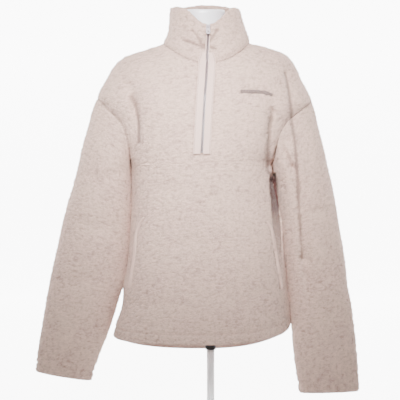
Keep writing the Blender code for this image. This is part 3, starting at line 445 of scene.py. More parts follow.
ARM_ROWS = 64   # cells along the armhole
HALF = 72       # cells from the slit to a side
MIDDLE = 4      # cells across the slit
low_keys = np.concatenate([[0.0, 0.0028, 0.0062, 0.0100], np.linspace(0.0150, 1.0, 164)[:-1]])
arm_keys = 1.5 - 0.5 * np.cos(np.linspace(0.0, math.pi, ARM_ROWS + 1))
body_keys = np.concatenate([low_keys, arm_keys, np.linspace(2.0, 3.0, 47)[1:]])[:, None]
ARMHOLE = slice(len(low_keys), len(low_keys) + ARM_ROWS + 1)
body_power = read(TORSO, 10, body_keys)


def panel(angle):
    """A front or back on the body's rings, folded, and leaning on the sleeves at its sides. Low
    down, the hem's drop spreads further to the sides: half the power there."""
    bow = 0.5 + 0.5 * smooth(body_keys / 0.30)
    return sides_out(crease(ring(TORSO, body_keys, angle, body_power, bow=bow), FOLDS))


def half_front(first):
    """Angles from the slit's edge to the side, closer together where the armhole cuts in."""
    step = np.linspace(0.0, 1.0, HALF + 1)[None]
    short = math.pi / 2.0 - edge_angle(body_keys, read(TORSO, 5, body_keys), body_power)
    return first + (math.pi / 2.0 - first) * step - short * step ** 2


first_right = slit_angle(read(TORSO, 1, body_keys), body_power)
first_left = slit_angle(read(TORSO, 2, body_keys), body_power)
between = -first_right + (first_right + first_left) * np.arange(1, MIDDLE)[None] / MIDDLE
front_angle = [-half_front(first_right)[:, ::-1], between, half_front(first_left)]
front_base, front_shade = fall_back(panel(np.concatenate(front_angle, axis=1)))

back_short = math.pi / 2.0 - edge_angle(body_keys, read(TORSO, 7, body_keys), body_power)
sweep = np.linspace(-1.0, 1.0, 2 * HALF + 3)[None]
back_base = panel(math.pi + sweep * math.pi / 2.0 - np.sign(sweep) * back_short * sweep ** 2)

# the panels meet at the side seams below the arms, so they share the direction of their pile there
count = front_base.shape[1]
body_round = outward(np.concatenate([front_base, back_base[:, 1:-1]], axis=1), True, 1.0)
below_arm = (body_keys < 1.0)[..., None]
front_normal = np.where(below_arm, body_round[:, :count], outward(front_base, False, 1.0))
back_round = np.concatenate([body_round[:, count - 1:], body_round[:, :1]], axis=1)
back_normal = np.where(below_arm, back_round, outward(back_base, False, 1.0))

# the pocket openings and the embroidered bar, as x, z on the front
WELT_LEFT = [(0.1300, 0.4127), (0.1360, 0.4040), (0.1445, 0.3779), (0.1480, 0.3535),
             (0.1520, 0.3307), (0.1580, 0.3000), (0.1625, 0.2713)]
WELT_RIGHT = [(-0.1200, 0.4209), (-0.1285, 0.4085), (-0.1365, 0.3860), (-0.1405, 0.3492),
              (-0.1435, 0.3250), (-0.1480, 0.2980), (-0.1530, 0.2720)]
BAR = [(0.0760, 0.6758), (0.1000, 0.6762), (0.1240, 0.6748), (0.1410, 0.6705)]

# the tips' own colour, and painted shade for the valleys between the curls
FLEECE = fleece_material("cream_sherpa_fleece", "#d6b5a7", "#8e746b")


def crease_shade_factor(points, folds):
    """Painted shade along the sharp folds, as the share of the pile's colour value left: 1 minus
    1.05 exp(-(1.5 distance/width)^2) for each, on the side it faces, uneven along it."""
    unshaded_share = np.ones(points.shape[:-1])
    uneven = 1.0 + 0.9 * drift(points, 0.02)[..., 2]
    for facing, _, width, path in folds:
        if width <= SHARP:
            crease_shade = np.exp(-(1.5 * line_distance(points, path) / width) ** 2)
            unshaded_share -= 1.05 * uneven * crease_shade * (facing * points[..., 1] > 0.0)
    return np.clip(unshaded_share, 0.0, 1.0)


def seam_keep(away, points):
    """How free the pile stands by its distance from a seam, 0 to 1: 5.5 mm to stand up. In the
    wearer's left armhole the cloth rolls over the seam, which hardly shows there."""
    hidden = smooth((0.215 - points[..., 0]) / 0.02) * (points[..., 0] > 0.10) * (points[..., 2] < 0.70)
    free = smooth(away / 0.0055)
    return free + (1.0 - free) * 0.96 * hidden


def stitch_line(away, points):
    """A sewn line pulls the pile down in a groove 3 mm deep and 4.4 mm wide, a little uneven."""
    uneven = 0.8 + 0.8 * drift(points, 0.012)[..., 0]
    return -0.0030 * np.exp(-((away - HEM_STITCH) / 0.0022) ** 2) * uneven


def hem_roll(away):
    """The turned edge is round: it falls back by half its wall minus the circle's height."""
    half = HEM_WALL * 0.5
    part = np.clip(1.0 - away / half, 0.0, 1.0)
    return -half * (1.0 - np.sqrt(np.clip(1.0 - part * part, 0.0, 1.0)))


def fleece_piece(name, base, normal, keep, hem_edge, wrap, turn, shade=0.0, holes=None):
    """A wall of fleece with a turned and stitched hem. Its outer face is raised by the curls and by
    some slack, times keep: 1 where the pile stands free and 0 at a seam, beside which it rolls
    into a groove, 4k(1-k) times its depth. Its inner face is set back by the wall. The pile's
    colour carries painted shade at a seam, in a sharp fold and in the recess."""
    wall = WALL + (HEM_WALL - WALL) * smooth((HEM_STITCH + 0.002 - hem_edge) / 0.004)
    extra = stitch_line(hem_edge, base) + hem_roll(hem_edge)
    nap = curls(base)
    slack = drift(base, 0.085)[..., 0] * 0.0030 + drift(base, 0.04)[..., 1] * 0.0018
    groove = 4.0 * SEAM_GROOVE * keep * (1.0 - keep)
    lift = (nap - PILE_MIDDLE) * PILE * keep - groove + slack * keep + extra
    inner = base - normal * (wall - np.minimum(extra, 0.0))[..., None]
    points, faces, used = walled(base + normal * lift[..., None], inner, wrap, turn, holes)
    # painted shade: the pile's colour darkens where keep holds it down, at seams, tapes, bindings and
    # thread, and along sharp creases
    nap = nap * (0.45 + 0.55 * keep) * crease_shade_factor(base, FOLDS)
    # painted shade in the recess, down to dark brown
    nap = nap * (1.0 - 0.95 * shade) - 0.55 * shade
    nap = np.concatenate([nap.ravel(), np.full(nap.size, PILE_INSIDE)])[used]
    return make_piece(name, points, faces, FLEECE, nap=nap)


def panel_keep(base):
    """How free a panel's pile stands by its neck and armhole seams, and the distance from its hem.
    Below the arms the pile runs on over the side seams."""
    left_edge, right_edge, hem_edge, neck_edge = from_edges(base)
    side_edge = np.minimum(left_edge, right_edge) + 0.02 * smooth((1.0 - body_keys) / 0.03)
    return seam_keep(np.minimum(side_edge, neck_edge), base), hem_edge


keep, hem_edge = panel_keep(front_base)
# the zip tapes, the pockets' bindings and the thread hold the pile down, with painted shade beside them
zip_away = np.abs(front_base[..., 0] - read(TORSO, 9, body_keys))
on_zip = smooth((body_keys - 1.10) / 0.05)
keep = keep * (1.0 - on_zip * (1.0 - smooth((zip_away - TAPE_HALF + 0.0015) / 0.004)))
pocket_away = np.minimum(line_distance(front_base, WELT_LEFT), line_distance(front_base, WELT_RIGHT))
keep = keep * (0.45 + 0.55 * smooth((pocket_away - 0.0015) / 0.0035))
keep = keep * (0.30 + 0.70 * smooth((line_distance(front_base, BAR) - 0.0022) / 0.003))
slit_cells = np.zeros((len(front_base) - 1, front_base.shape[1] - 1), bool)
slit_cells[body_keys[:-1, 0] >= SLIT_KEY, HALF:HALF + MIDDLE] = True
front = fleece_piece("front_panel", front_base, front_normal, keep, hem_edge, False, 1.0,
                     front_shade, slit_cells)
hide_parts("front")

keep, hem_edge = panel_keep(back_base)
back = fleece_piece("back_panel", back_base, back_normal, keep, hem_edge, False, 1.0)
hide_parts("back")

# ---------------------------------------------------------------------------
# Sleeves
# Each is one piece of the same fleece, sewn into a dropped armhole and closed under the arm.
# The cuff is turned in 20 mm and top-stitched, and the sleeves hang empty.
# ---------------------------------------------------------------------------
SLEEVE_RIGHT = np.array([
    # t    x_out  z_out  x_in   z_in   depth  y_middle
    [0.00, 0.2205, 0.6700, 0.1500, 0.5250, 0.0660, 0.000],
    [0.04, 0.2290, 0.6530, 0.1520, 0.5100, 0.0655, 0.000],
    [0.10, 0.2370, 0.6240, 0.1516, 0.4870, 0.0640, 0.000],
    [0.20, 0.2500, 0.5730, 0.1510, 0.4520, 0.0610, -0.001],
    [0.30, 0.2625, 0.5230, 0.1520, 0.4190, 0.0570, -0.002],
    [0.42, 0.2810, 0.4560, 0.1552, 0.3760, 0.0530, -0.003],
    [0.54, 0.2980, 0.3885, 0.1592, 0.3310, 0.0490, -0.004],
    [0.66, 0.3130, 0.3210, 0.1690, 0.2800, 0.0440, -0.005],
    [0.75, 0.3245, 0.2710, 0.1815, 0.2370, 0.0400, -0.006],
    [0.83, 0.3320, 0.2250, 0.1945, 0.1920, 0.0360, -0.006],
    [0.91, 0.3400, 0.1740, 0.2130, 0.1430, 0.0310, -0.007],
    [0.96, 0.3465, 0.1320, 0.2270, 0.1060, 0.0270, -0.007],
    [1.00, 0.3495, 0.0966, 0.2350, 0.0777, 0.0250, -0.007],
])
SLEEVE_LEFT = np.array([
    # t    x_out  z_out  x_in   z_in   depth  y_middle
    [0.00, 0.2280, 0.6640, 0.1445, 0.5250, 0.0660, 0.000],
    [0.04, 0.2335, 0.6450, 0.1478, 0.5080, 0.0655, 0.000],
    [0.10, 0.2400, 0.6130, 0.1530, 0.4870, 0.0640, 0.000],
    [0.20, 0.2500, 0.5730, 0.1590, 0.4600, 0.0610, -0.001],
    [0.30, 0.2625, 0.5230, 0.1645, 0.4280, 0.0580, -0.002],
    [0.42, 0.2770, 0.4560, 0.1690, 0.3820, 0.0540, -0.003],
    [0.54, 0.2880, 0.3885, 0.1735, 0.3330, 0.0500, -0.004],
    [0.66, 0.2980, 0.3210, 0.1785, 0.2810, 0.0460, -0.004],
    [0.75, 0.3045, 0.2710, 0.1820, 0.2380, 0.0420, -0.005],
    [0.83, 0.3125, 0.2250, 0.1858, 0.1950, 0.0380, -0.005],
    [0.91, 0.3190, 0.1700, 0.1890, 0.1480, 0.0330, -0.006],
    [0.96, 0.3240, 0.1150, 0.1930, 0.1050, 0.0290, -0.006],
    [1.00, 0.3290, 0.0560, 0.2010, 0.0520, 0.0260, -0.006],
])


def sleeve_base(table, sign, keys):
    """Tilted ellipses from the armhole to the cuff. The first is the armhole's own edge, and the
    difference from it fades out over a quarter of the sleeve."""
    column, other = (0, -1) if sign < 0 else (-1, 0)
    start = np.concatenate([front_base[ARMHOLE, column][::-1], back_base[ARMHOLE, other][1:-1]])
    turn = np.linspace(0.0, 2.0 * math.pi, len(start) + 1)[:-1][None]

    def oval(t):
        """Ellipses from the sleeve's outer to its inner side, which leans on the body, folded."""
        outer = np.stack([sign * read(table, 1, t), read(table, 6, t), read(table, 2, t)], axis=-1)
        inner = np.stack([sign * read(table, 3, t), read(table, 6, t), read(table, 4, t)], axis=-1)
        points = (outer + inner) / 2.0 + np.cos(turn)[..., None] * (outer - inner) / 2.0
        points[..., 1] -= read(table, 5, t) * np.sin(turn)
        points[..., 0] -= sign * lean(points, sign) * np.clip(-np.cos(turn), 0.0, 1.0) ** 4
        return crease(points, FOLDS)

    shift = start[None] - oval(np.zeros((1, 1)))
    return oval(keys) + shift * (1.0 - smooth(keys / 0.25))[..., None]


sleeve_keys = np.concatenate([np.linspace(0.0, 0.985, 280), [0.9890, 0.9930, 0.9965, 1.0]])[:, None]
for side, sign, table in (("right", -1.0, SLEEVE_RIGHT), ("left", 1.0, SLEEVE_LEFT)):
    base, shade = fall_back(sleeve_base(table, sign, sleeve_keys))
    _, _, armhole_edge, cuff_edge = from_edges(base)
    sleeve = fleece_piece(side + "_sleeve", base, outward(base, True, sign),
                          seam_keep(armhole_edge, base), cuff_edge, True, sign, shade)
    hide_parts("sleeve_" + side)

# ---------------------------------------------------------------------------
# Stand collar
# Fleece doubled over itself, sewn to the neck and to both sides of the zip. It stands by its own
# thickness and dips at the front.
# ---------------------------------------------------------------------------
COLLAR_WALL = 0.0072
COLLAR = np.array([
    # h    x_right x_left z_right z_left y_front z_front y_back z_back x_middle dip
    [0.00, 0.0840, 0.0980, 0.7830, 0.7840, 0.0770, 0.7380, 0.0600, 0.7970, 0.0085, 1.0],
    [0.12, 0.0790, 0.0960, 0.7930, 0.7940, 0.0765, 0.7475, 0.0615, 0.8070, 0.0087, 1.3],
    [0.35, 0.0730, 0.0905, 0.8080, 0.8100, 0.0735, 0.7670, 0.0630, 0.8260, 0.0091, 2.0],
    [0.65, 0.0708, 0.0840, 0.8290, 0.8290, 0.0680, 0.7910, 0.0635, 0.8490, 0.0101, 3.0],
    [0.90, 0.0697, 0.0785, 0.8500, 0.8490, 0.0635, 0.8105, 0.0625, 0.8670, 0.0104, 3.8],
    [1.00, 0.0690, 0.0755, 0.8575, 0.8565, 0.0615, 0.8176, 0.0605, 0.8725, 0.0105, 4.0],
])
collar_keys = np.linspace(0.0, 0.955, 34)[:, None]
neck = TORSO[-1]
collar_start = slit_angle(neck[1], neck[10])
collar_angle = np.linspace(collar_start, 2.0 * math.pi - collar_start, 220)[None]
collar_base = ring(COLLAR, collar_keys, collar_angle, neck[10], read(COLLAR, 10, collar_keys))
# the slider bunches the cloth around and below it: creases cross there, with painted shade along them
COLLAR_FOLDS = [
    (-1, 0.0040, 0.0042, [(-0.041, 0.785), (-0.020, 0.777), (0.001, 0.770)]),
    (-1, 0.0036, 0.0036, [(-0.005, 0.777), (0.010, 0.771), (0.026, 0.766)]),
    (-1, 0.0030, 0.0040, [(-0.022, 0.806), (-0.013, 0.793), (-0.004, 0.780)]),
    (-1, 0.0028, 0.0040, [(0.030, 0.806), (0.020, 0.792), (0.012, 0.780)]),
    (-1, 0.0022, 0.0060, [(-0.060, 0.800), (-0.050, 0.788), (-0.036, 0.776)]),
    (-1, 0.0022, 0.0060, [(0.074, 0.800), (0.062, 0.786), (0.046, 0.778)]),
    (-1, 0.0026, 0.0050, [(0.0075, 0.799), (0.0070, 0.785), (0.0065, 0.768)]),
]
collar_base = crease(collar_base, COLLAR_FOLDS)
# above the seam, the coil draws the two front edges in by up to 2 mm
zip_side = collar_base[..., 0] - neck[9]
pinch = 0.0021 * np.exp(-(zip_side / 0.010) ** 2) * smooth((collar_keys - 0.24) / 0.12)
collar_base[..., 0] -= np.sign(zip_side) * pinch * (collar_base[..., 1] < 0.0)
collar_normal = outward(collar_base, False, 1.0)
left_edge, right_edge, seam_edge, _ = from_edges(collar_base)
keep = smooth(seam_edge / 0.007) * smooth((np.minimum(left_edge, right_edge) + 0.0045) / 0.006)
collar_wall = WALL + (COLLAR_WALL - WALL) * smooth(seam_edge / 0.010)
# the doubled cloth turns over at the top in half a circle
rim_middle = collar_base[-1] - collar_normal[-1] * (COLLAR_WALL / 2.0)
rim_up = unit(collar_base[-1] - collar_base[-2])
outer_rows = [collar_base]
inner_rows = [collar_base - collar_normal * collar_wall[..., None]]
for turn in np.radians([22.0, 44.0, 66.0, 84.0]):
    out, up = collar_normal[-1] * math.cos(turn), rim_up * math.sin(turn)
    outer_rows.append((rim_middle + (out + up) * COLLAR_WALL / 2.0)[None])
    inner_rows.append((rim_middle + (up - out) * COLLAR_WALL / 2.0)[None])
outer_base = np.concatenate(outer_rows)
inner_base = np.concatenate(inner_rows)
# painted shade along the collar's sharp creases darkens the outer pile's colour
keep, unshaded_share = (np.pad(rows, ((0, 4), (0, 0)), mode="edge")
                   for rows in (keep, crease_shade_factor(collar_base, COLLAR_FOLDS)))
outer_nap = curls(outer_base)
inner_nap = curls(inner_base)
outer_lift = (outer_nap - PILE_MIDDLE) * PILE * keep - 4.0 * SEAM_GROOVE * keep * (1.0 - keep)
inner_lift = (inner_nap - PILE_MIDDLE) * PILE * 0.8 * keep
outer = outer_base + outward(outer_base, False, 1.0) * outer_lift[..., None]
inner = inner_base - outward(inner_base, False, 1.0) * inner_lift[..., None]
points, faces, used = walled(outer, inner, False, 1.0)
nap = np.concatenate([(outer_nap * unshaded_share).ravel(), inner_nap.ravel()])[used]
collar = make_piece("stand_collar", points, faces, FLEECE, nap=nap)
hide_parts("collar")

# ---------------------------------------------------------------------------
# Zip
# Two woven polyester tapes top-stitched flat over the pile, a nylon coil chain between them,
# and a small die-cast slider with a tab that hangs from its bail.
# ---------------------------------------------------------------------------
CHAIN_HALF = 0.0022     # half of the coil chain
TAPE_STITCH = 0.0022    # the stitch line from a tape's outer edge
TAPE_TUCK = 3.24        # above this key a tape is tucked in between coil and collar


def beside_zip(keys, offsets):
    """Points of the front (key to 3) and collar (3 to 4) at offsets from the zip's middle line."""
    keys = np.broadcast_to(keys, np.broadcast_shapes(keys.shape, offsets.shape))
    low = np.minimum(keys, 3.0)
    high = np.clip(keys - 3.0, 0.0, 1.0)
    power = read(TORSO, 10, low)

    def place(table, t, dip):
        """The rings of one table at the offsets, turned into angles as slit_angle does."""
        width = np.where(offsets < 0.0, read(table, 1, t), read(table, 2, t))
        angle = np.sign(offsets) * np.arcsin((np.abs(offsets) / width) ** (power / 2.0))
        return ring(table, t, angle, power, dip)

    on_collar = (keys > 3.0)[..., None]
    return np.where(on_collar, place(COLLAR, high, read(COLLAR, 10, high)), place(TORSO, low, 1.0))


def zip_frame(keys, offsets):
    """Points beside the zip, and the outward normal, across and along directions there."""
    along = beside_zip(np.minimum(keys + 0.02, 4.0), offsets) - beside_zip(keys - 0.02, offsets)
    across = beside_zip(keys, offsets + 0.004) - beside_zip(keys, offsets - 0.004)
    return beside_zip(keys, offsets), unit(np.cross(across, along)), unit(across), unit(along)


def grained(name, texture, values, tones=(), relief=(), bands=None, thread=None, **sockets):
    """A finish from one texture on Object coordinates, which mixes two tones and raises the surface
    by a bump's strength and distance. Thread lies over it where the attribute sewn says so."""
    made, tree, shader = new_material(name, **sockets)
    place = add(tree, "ShaderNodeTexCoord").outputs["Object"]
    settings = {"bands_direction": bands} if bands else {}
    grain = add(tree, texture, [("Vector", place), *values.items()], **settings).outputs["Fac"]
    if tones:
        tone = add(tree, "ShaderNodeMix", [("Factor", grain), ("A", linear(tones[0])),
                                           ("B", linear(tones[1]))], data_type="RGBA")
        if thread:
            sewn = add(tree, "ShaderNodeAttribute", attribute_name="sewn").outputs["Fac"]
            tone = add(tree, "ShaderNodeMix", [("Factor", sewn), ("A", tone.outputs["Result"]),
                                               ("B", linear(thread))], data_type="RGBA")
        tree.links.new(tone.outputs["Result"], shader.inputs["Base Color"])
    if relief:
        bump = add(tree, "ShaderNodeBump", [("Height", grain), ("Strength", relief[0]),
                                            ("Distance", relief[1])])
        tree.links.new(bump.outputs["Normal"], shader.inputs["Normal"])
    return made


# polyester twill, woven close: slightly glossy, with ribs drawn 1.4 mm apart so that they show
TAPE = grained("woven_zip_tape", "ShaderNodeTexWave", {"Scale": 260.0, "Distortion": 0.6, "Detail": 1.0},
               ("#cfaea2", "#dcbdb1"), (0.25, 0.0004), "DIAGONAL", "#94766c",
               Roughness=0.62, Specular_IOR_Level=0.35, Sheen_Weight=0.15, Sheen_Roughness=0.4)
tape_keys = np.concatenate([np.linspace(1.16, 2.98, 120), np.linspace(3.0, 3.97, 40)])[:, None]
tape_start = CHAIN_HALF + 0.0003
# beside the collar a tape narrows, and where it is tucked in 2 mm of it show, below the pile
tape_edge = TAPE_HALF - 0.0045 * smooth((tape_keys - 3.0) / 0.22)
tape_edge = np.where(tape_keys > TAPE_TUCK, 0.0043, tape_edge)
# stitches 2.6 mm long, with gaps between them
stitches = (0.25 + 0.75 * (np.sin(tape_keys * 260.0) > -0.3)) * (tape_keys < TAPE_TUCK)
for side, sign in (("right", -1.0), ("left", 1.0)):
    offsets = sign * (tape_start + (tape_edge - tape_start) * np.linspace(0.0, 1.0, 15)[None])
    base, normal, _, _ = zip_frame(tape_keys, offsets)
    edge_away = np.abs(np.abs(offsets) - tape_edge)
    groove = np.exp(-((edge_away - TAPE_STITCH) / 0.0007) ** 2) * 0.0005
    round_off = 0.0008 * np.clip(1.0 - edge_away / 0.0012, 0.0, 1.0) ** 2
    lift = np.where(tape_keys > TAPE_TUCK, -0.0008, 0.0019 - groove - round_off)
    sewn = 0.75 * np.exp(-((edge_away - TAPE_STITCH) / 0.0006) ** 2) * stitches
    points, faces, used = walled(base + normal * lift[..., None], base + normal * 0.0002, False, sign)
    sewn = np.concatenate([sewn.ravel(), np.zeros(sewn.size)])[used]
    tape = make_piece(side + "_zip_tape", points, faces, TAPE, sewn=sewn)
    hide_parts("zip_tape_" + side)


def length_along(path):
    """Length along a path at each of its points."""
    return np.concatenate([[0.0], np.cumsum(np.linalg.norm(np.diff(path, axis=0), axis=1))])


COIL_PITCH = 0.0015
TOOTH = (0.0013, 0.00055, 0.00075)  # half a tooth across the zip, along it and outwards
# nylon monofilament, wound and set: satin, clouded in spots of 1.4 mm. Its tones are darker than the
# tapes', partly its own colour and partly painted shade of the narrow gap between the tapes
coil_nylon_and_shade = grained("moulded_nylon_coil_and_painted_shade", "ShaderNodeTexNoise", {"Scale": 700.0, "Detail": 2.0},
                     ("#836f70", "#a69192"), Roughness=0.42)
dense = np.concatenate([np.linspace(1.20, 2.99, 400), np.linspace(3.0, 3.95, 160)])[:, None]
path, normal, across, along = (v[:, 0] for v in zip_frame(dense, np.full((1, 1), 1e-5)))
run = length_along(path)
teeth = np.arange(0.001, run[-1] - 0.001, COIL_PITCH)
centre, up, wide, tall = (np.stack([np.interp(teeth, run, v[:, i]) for i in range(3)], axis=1)
                          for v in (path, normal, across, along))
lat = np.linspace(0.0, math.pi, 5)[:, None]
lon = np.linspace(0.0, 2.0 * math.pi, 9)[:-1]
bead = [np.cos(lat), np.sin(lat) * np.cos(lon), np.sin(lat) * np.sin(lon)]
bead = np.stack(np.broadcast_arrays(*bead), axis=-1).reshape(-1, 3)
bead_cells = cells_of(5, 8, True, 1.0)
tooth_points = []
tooth_faces = []
for row, sign in enumerate((-1.0, 1.0)):
    # the rows interlock: 1 mm either side of the middle line, and half a pitch apart along it
    shift = sign * 0.0010 * wide + (sign * COIL_PITCH * 0.25) * tall + up * 0.0013
    body = (centre + shift)[:, None]
    for i, (direction, half) in enumerate(zip((wide, tall, up), TOOTH)):
        body = body + bead[None, :, i, None] * direction[:, None] * half
    tooth_points.append(body.reshape(-1, 3))
    start = (row * len(teeth) + np.arange(len(teeth)))[:, None, None] * len(bead)
    tooth_faces.append((bead_cells[None] + start).reshape(-1, 4))
chain = make_piece("zip_coil", np.concatenate(tooth_points) + GARMENT_MIDDLE,
                   np.concatenate(tooth_faces).tolist(), coil_nylon_and_shade)
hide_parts("zip_chain")

# die-cast zinc under paint: half gloss, with an orange peel of 0.7 mm
painted_zinc = grained("painted_die_cast_zinc", "ShaderNodeTexNoise", {"Scale": 1500.0, "Detail": 2.0},
                       ("#a99ba1", "#b9adb1"), (0.08, 0.0002), Roughness=0.42, Specular_IOR_Level=0.35)


def rounded_copy(node, name, width, body):
    """A CAD node's own shape with its corners rounded by a small bevel."""
    work = bmesh.new()
    work.from_mesh(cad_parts[node].data)
    bmesh.ops.remove_doubles(work, verts=work.verts, dist=0.00002)
    bmesh.ops.dissolve_limit(work, angle_limit=math.radians(1.0), verts=work.verts, edges=work.edges)
    mesh = bpy.data.meshes.new(name)
    work.to_mesh(mesh)
    work.free()
    piece = show(name, mesh, painted_zinc)
    bevel = piece.modifiers.new("soft_edges", "BEVEL")
    bevel.width = width
    bevel.segments = 2
    bevel.limit_method = "ANGLE"
    bevel.angle_limit = math.radians(35.0)
    bevel.harden_normals = True
    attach(piece, body)
    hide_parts(node)


rounded_copy("zip_slider", "die_cast_slider", 0.00035, "garment_on_form")
rounded_copy("zip_pull", "pull_tab_with_eyelet", 0.00025, "pull_tab")

# ---------------------------------------------------------------------------
# Pocket openings
# Each side-seam pocket is bound with a smooth knitted strip, turned over the cut edge and
# stitched down. The cloth falls into the slit beside it.
# ---------------------------------------------------------------------------
WELT_WIDTH = 0.0058
WELT_ROWS = 64
front_points = front_base.reshape(-1, 3)
front_up = outward(front_base, False, 1.0).reshape(-1, 3)


def front_beside(line, ahead, move):
    """The front at offsets across a line in the XZ plane, and its normals there: the nearest point
    of the front's grid, moved in its tangent plane."""
    x = line[:, :1] - ahead[:, 1:] * move
    z = line[:, 1:] + ahead[:, :1] * move
    near = np.argmin((front_points[None, :, 0] - x.reshape(-1, 1)) ** 2
                     + (front_points[None, :, 2] - z.reshape(-1, 1)) ** 2, axis=1)
    base, up = (values[near].reshape(*x.shape, 3) for values in (front_points, front_up))
    y = base[..., 1] - (up[..., 0] * (x - base[..., 0]) + up[..., 2] * (z - base[..., 2])) / up[..., 1]
    return np.stack([x, y, z], axis=-1), up


def along_path(path, count):
    """Points at even lengths on a smooth curve through a path, and the direction there."""
    run = length_along(np.array(path))
    table = np.column_stack([run / run[-1], path])
    share = np.linspace(0.0, 1.0, count)
    line = np.column_stack([read(table, 1, share), read(table, 2, share)])
    return line, unit(np.gradient(line, axis=0))


# polyester knit, smooth side out: soft, faintly ribbed, with its rows drawn 1.4 mm apart to show
binding = grained("knitted_pocket_binding", "ShaderNodeTexWave", {"Scale": 220.0, "Distortion": 1.5},
                  ("#c9a99c", "#dab9ab"), (0.3, 0.0004), "Z",
                  Roughness=0.8, Specular_IOR_Level=0.2, Sheen_Weight=0.2)
for side, path in (("right", WELT_RIGHT), ("left", WELT_LEFT)):
    share = np.linspace(-1.0, 1.0, 11)[None]
    taper = np.sqrt(np.clip(1.0 - np.linspace(-1.0, 1.0, WELT_ROWS) ** 12, 0.0, 1.0))[:, None]
    move = share * WELT_WIDTH / 2.0 * (0.35 + 0.65 * taper)
    base, normal = front_beside(*along_path(path, WELT_ROWS), move)
    outer = base + normal * (0.0004 + 0.0028 * (1.0 - share ** 2) * taper)[..., None]
    points, faces, _ = walled(outer, base - normal * 0.0002, False, -1.0)
    welt = make_piece(side + "_pocket_binding", points, faces, binding)
    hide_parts("pocket_welt_" + side)

# ---------------------------------------------------------------------------
# Embroidered bar
# A plain bar of satin stitch on the wearer's left chest, in rayon thread a few shades darker than
# the cloth. It is sewn through the fleece, and presses the pile flat around it.
# ---------------------------------------------------------------------------
BAR_ROWS = 260
BAR_HALF = 0.0040
# rayon thread, laid in close stitches: silky, in strands whose tone changes over 3 mm
rayon = grained("rayon_embroidery_thread", "ShaderNodeTexNoise", {"Scale": 330.0, "Detail": 2.0},
                ("#554542", "#927d77"), Roughness=0.6, Specular_IOR_Level=0.25)
line, ahead = along_path(BAR, BAR_ROWS)
share = np.linspace(-1.0, 1.0, 9)[None]
uneven = drift(np.column_stack([line, line[:, 0]])[:, None], 0.005)[..., 0]
base, normal = front_beside(line, ahead, share * BAR_HALF * (1.0 + 0.5 * uneven))
# ribs 2 mm apart along the bar
rib = np.abs(np.sin(np.arange(BAR_ROWS) * math.pi * 0.125))[:, None]
outer = base + normal * (0.0002 + (0.0010 + 0.0006 * rib) * (1.0 - share ** 4))[..., None]
points, faces, _ = walled(outer, base - normal * 0.0003, False, -1.0)
bar = make_piece("satin_stitch_bar", points, faces, rayon)

# ---------------------------------------------------------------------------
# Dress form and stand
# A smooth white moulded torso with a neck and no limbs, on a black fitting, a white steel tube
# and a round white steel foot.
# ---------------------------------------------------------------------------
FORM = np.array([
    # s    half   middle z_right z_left y_front z_front y_back z_back
    [0.00, 0.1440, 0.0160, 0.2000, 0.2000, 0.1000, 0.2000, 0.1010, 0.2000],
    [0.08, 0.1470, 0.0145, 0.2700, 0.2700, 0.1040, 0.2700, 0.1060, 0.2700],
    [0.22, 0.1180, 0.0120, 0.4000, 0.4000, 0.0900, 0.4000, 0.0920, 0.4000],
    [0.36, 0.1190, 0.0095, 0.5200, 0.5200, 0.1030, 0.5200, 0.0930, 0.5200],
    [0.44, 0.1270, 0.0085, 0.5750, 0.5750, 0.1080, 0.5650, 0.0960, 0.5750],
    [0.53, 0.1440, 0.0070, 0.6400, 0.6400, 0.1000, 0.6150, 0.0980, 0.6400],
    [0.60, 0.1580, 0.0060, 0.6900, 0.6900, 0.0920, 0.6550, 0.0950, 0.6850],
    [0.66, 0.1655, 0.0055, 0.7250, 0.7280, 0.0850, 0.6800, 0.0890, 0.7150],
    [0.71, 0.1625, 0.0052, 0.7455, 0.7490, 0.0770, 0.6960, 0.0820, 0.7340],
    [0.75, 0.1480, 0.0049, 0.7568, 0.7610, 0.0690, 0.7060, 0.0740, 0.7450],
    [0.79, 0.1250, 0.0045, 0.7651, 0.7692, 0.0600, 0.7130, 0.0660, 0.7540],
    [0.83, 0.1000, 0.0040, 0.7722, 0.7760, 0.0520, 0.7210, 0.0590, 0.7630],
    [0.87, 0.0760, 0.0035, 0.7800, 0.7830, 0.0470, 0.7320, 0.0540, 0.7740],
    [0.91, 0.0560, 0.0030, 0.7930, 0.7940, 0.0440, 0.7550, 0.0500, 0.7900],
    [0.95, 0.0460, 0.0025, 0.8180, 0.8180, 0.0420, 0.7950, 0.0460, 0.8150],
    [1.00, 0.0440, 0.0020, 0.8560, 0.8560, 0.0410, 0.8560, 0.0440, 0.8560],
])


def capped(rows):
    """Closed skin over a stack of rings, with a ring shrunk to a point as the cap at each end."""
    low = rows[:1] + (rows[:1].mean(axis=1, keepdims=True) - rows[:1]) * 0.999
    high = rows[-1:] + (rows[-1:].mean(axis=1, keepdims=True) - rows[-1:]) * 0.999
    full = np.concatenate([low, rows, high])
    count = full.shape[1]
    last = (len(full) - 1) * count
    faces = cells_of(len(full), count, True, 1.0).tolist()
    faces += [list(range(count))[::-1], list(range(last, last + count))]
    return full.reshape(-1, 3), faces


# glass-fibre shell, lacquered white: glossy under a thin clear coat, barely clouded over 110 mm
shell_white = grained("gloss_white_moulded_shell", "ShaderNodeTexNoise", {"Scale": 9.0, "Detail": 3.0},
                      ("#e9e5eb", "#f3f0f5"), Roughness=0.38, Coat_Weight=0.3, Coat_Roughness=0.2)
form_table = np.column_stack([FORM[:, 0], FORM[:, 1] - FORM[:, 2], FORM[:, 1] + FORM[:, 2], FORM[:, 3:9],
                              np.zeros(len(FORM))])
form_keys = np.concatenate([np.linspace(0.0, 0.53, 40), np.linspace(0.54, 0.995, 80)])[:, None]
form_angle = np.linspace(0.0, 2.0 * math.pi, 97)[:-1][None]
form_rows = ring(form_table, form_keys, form_angle, 2.2)
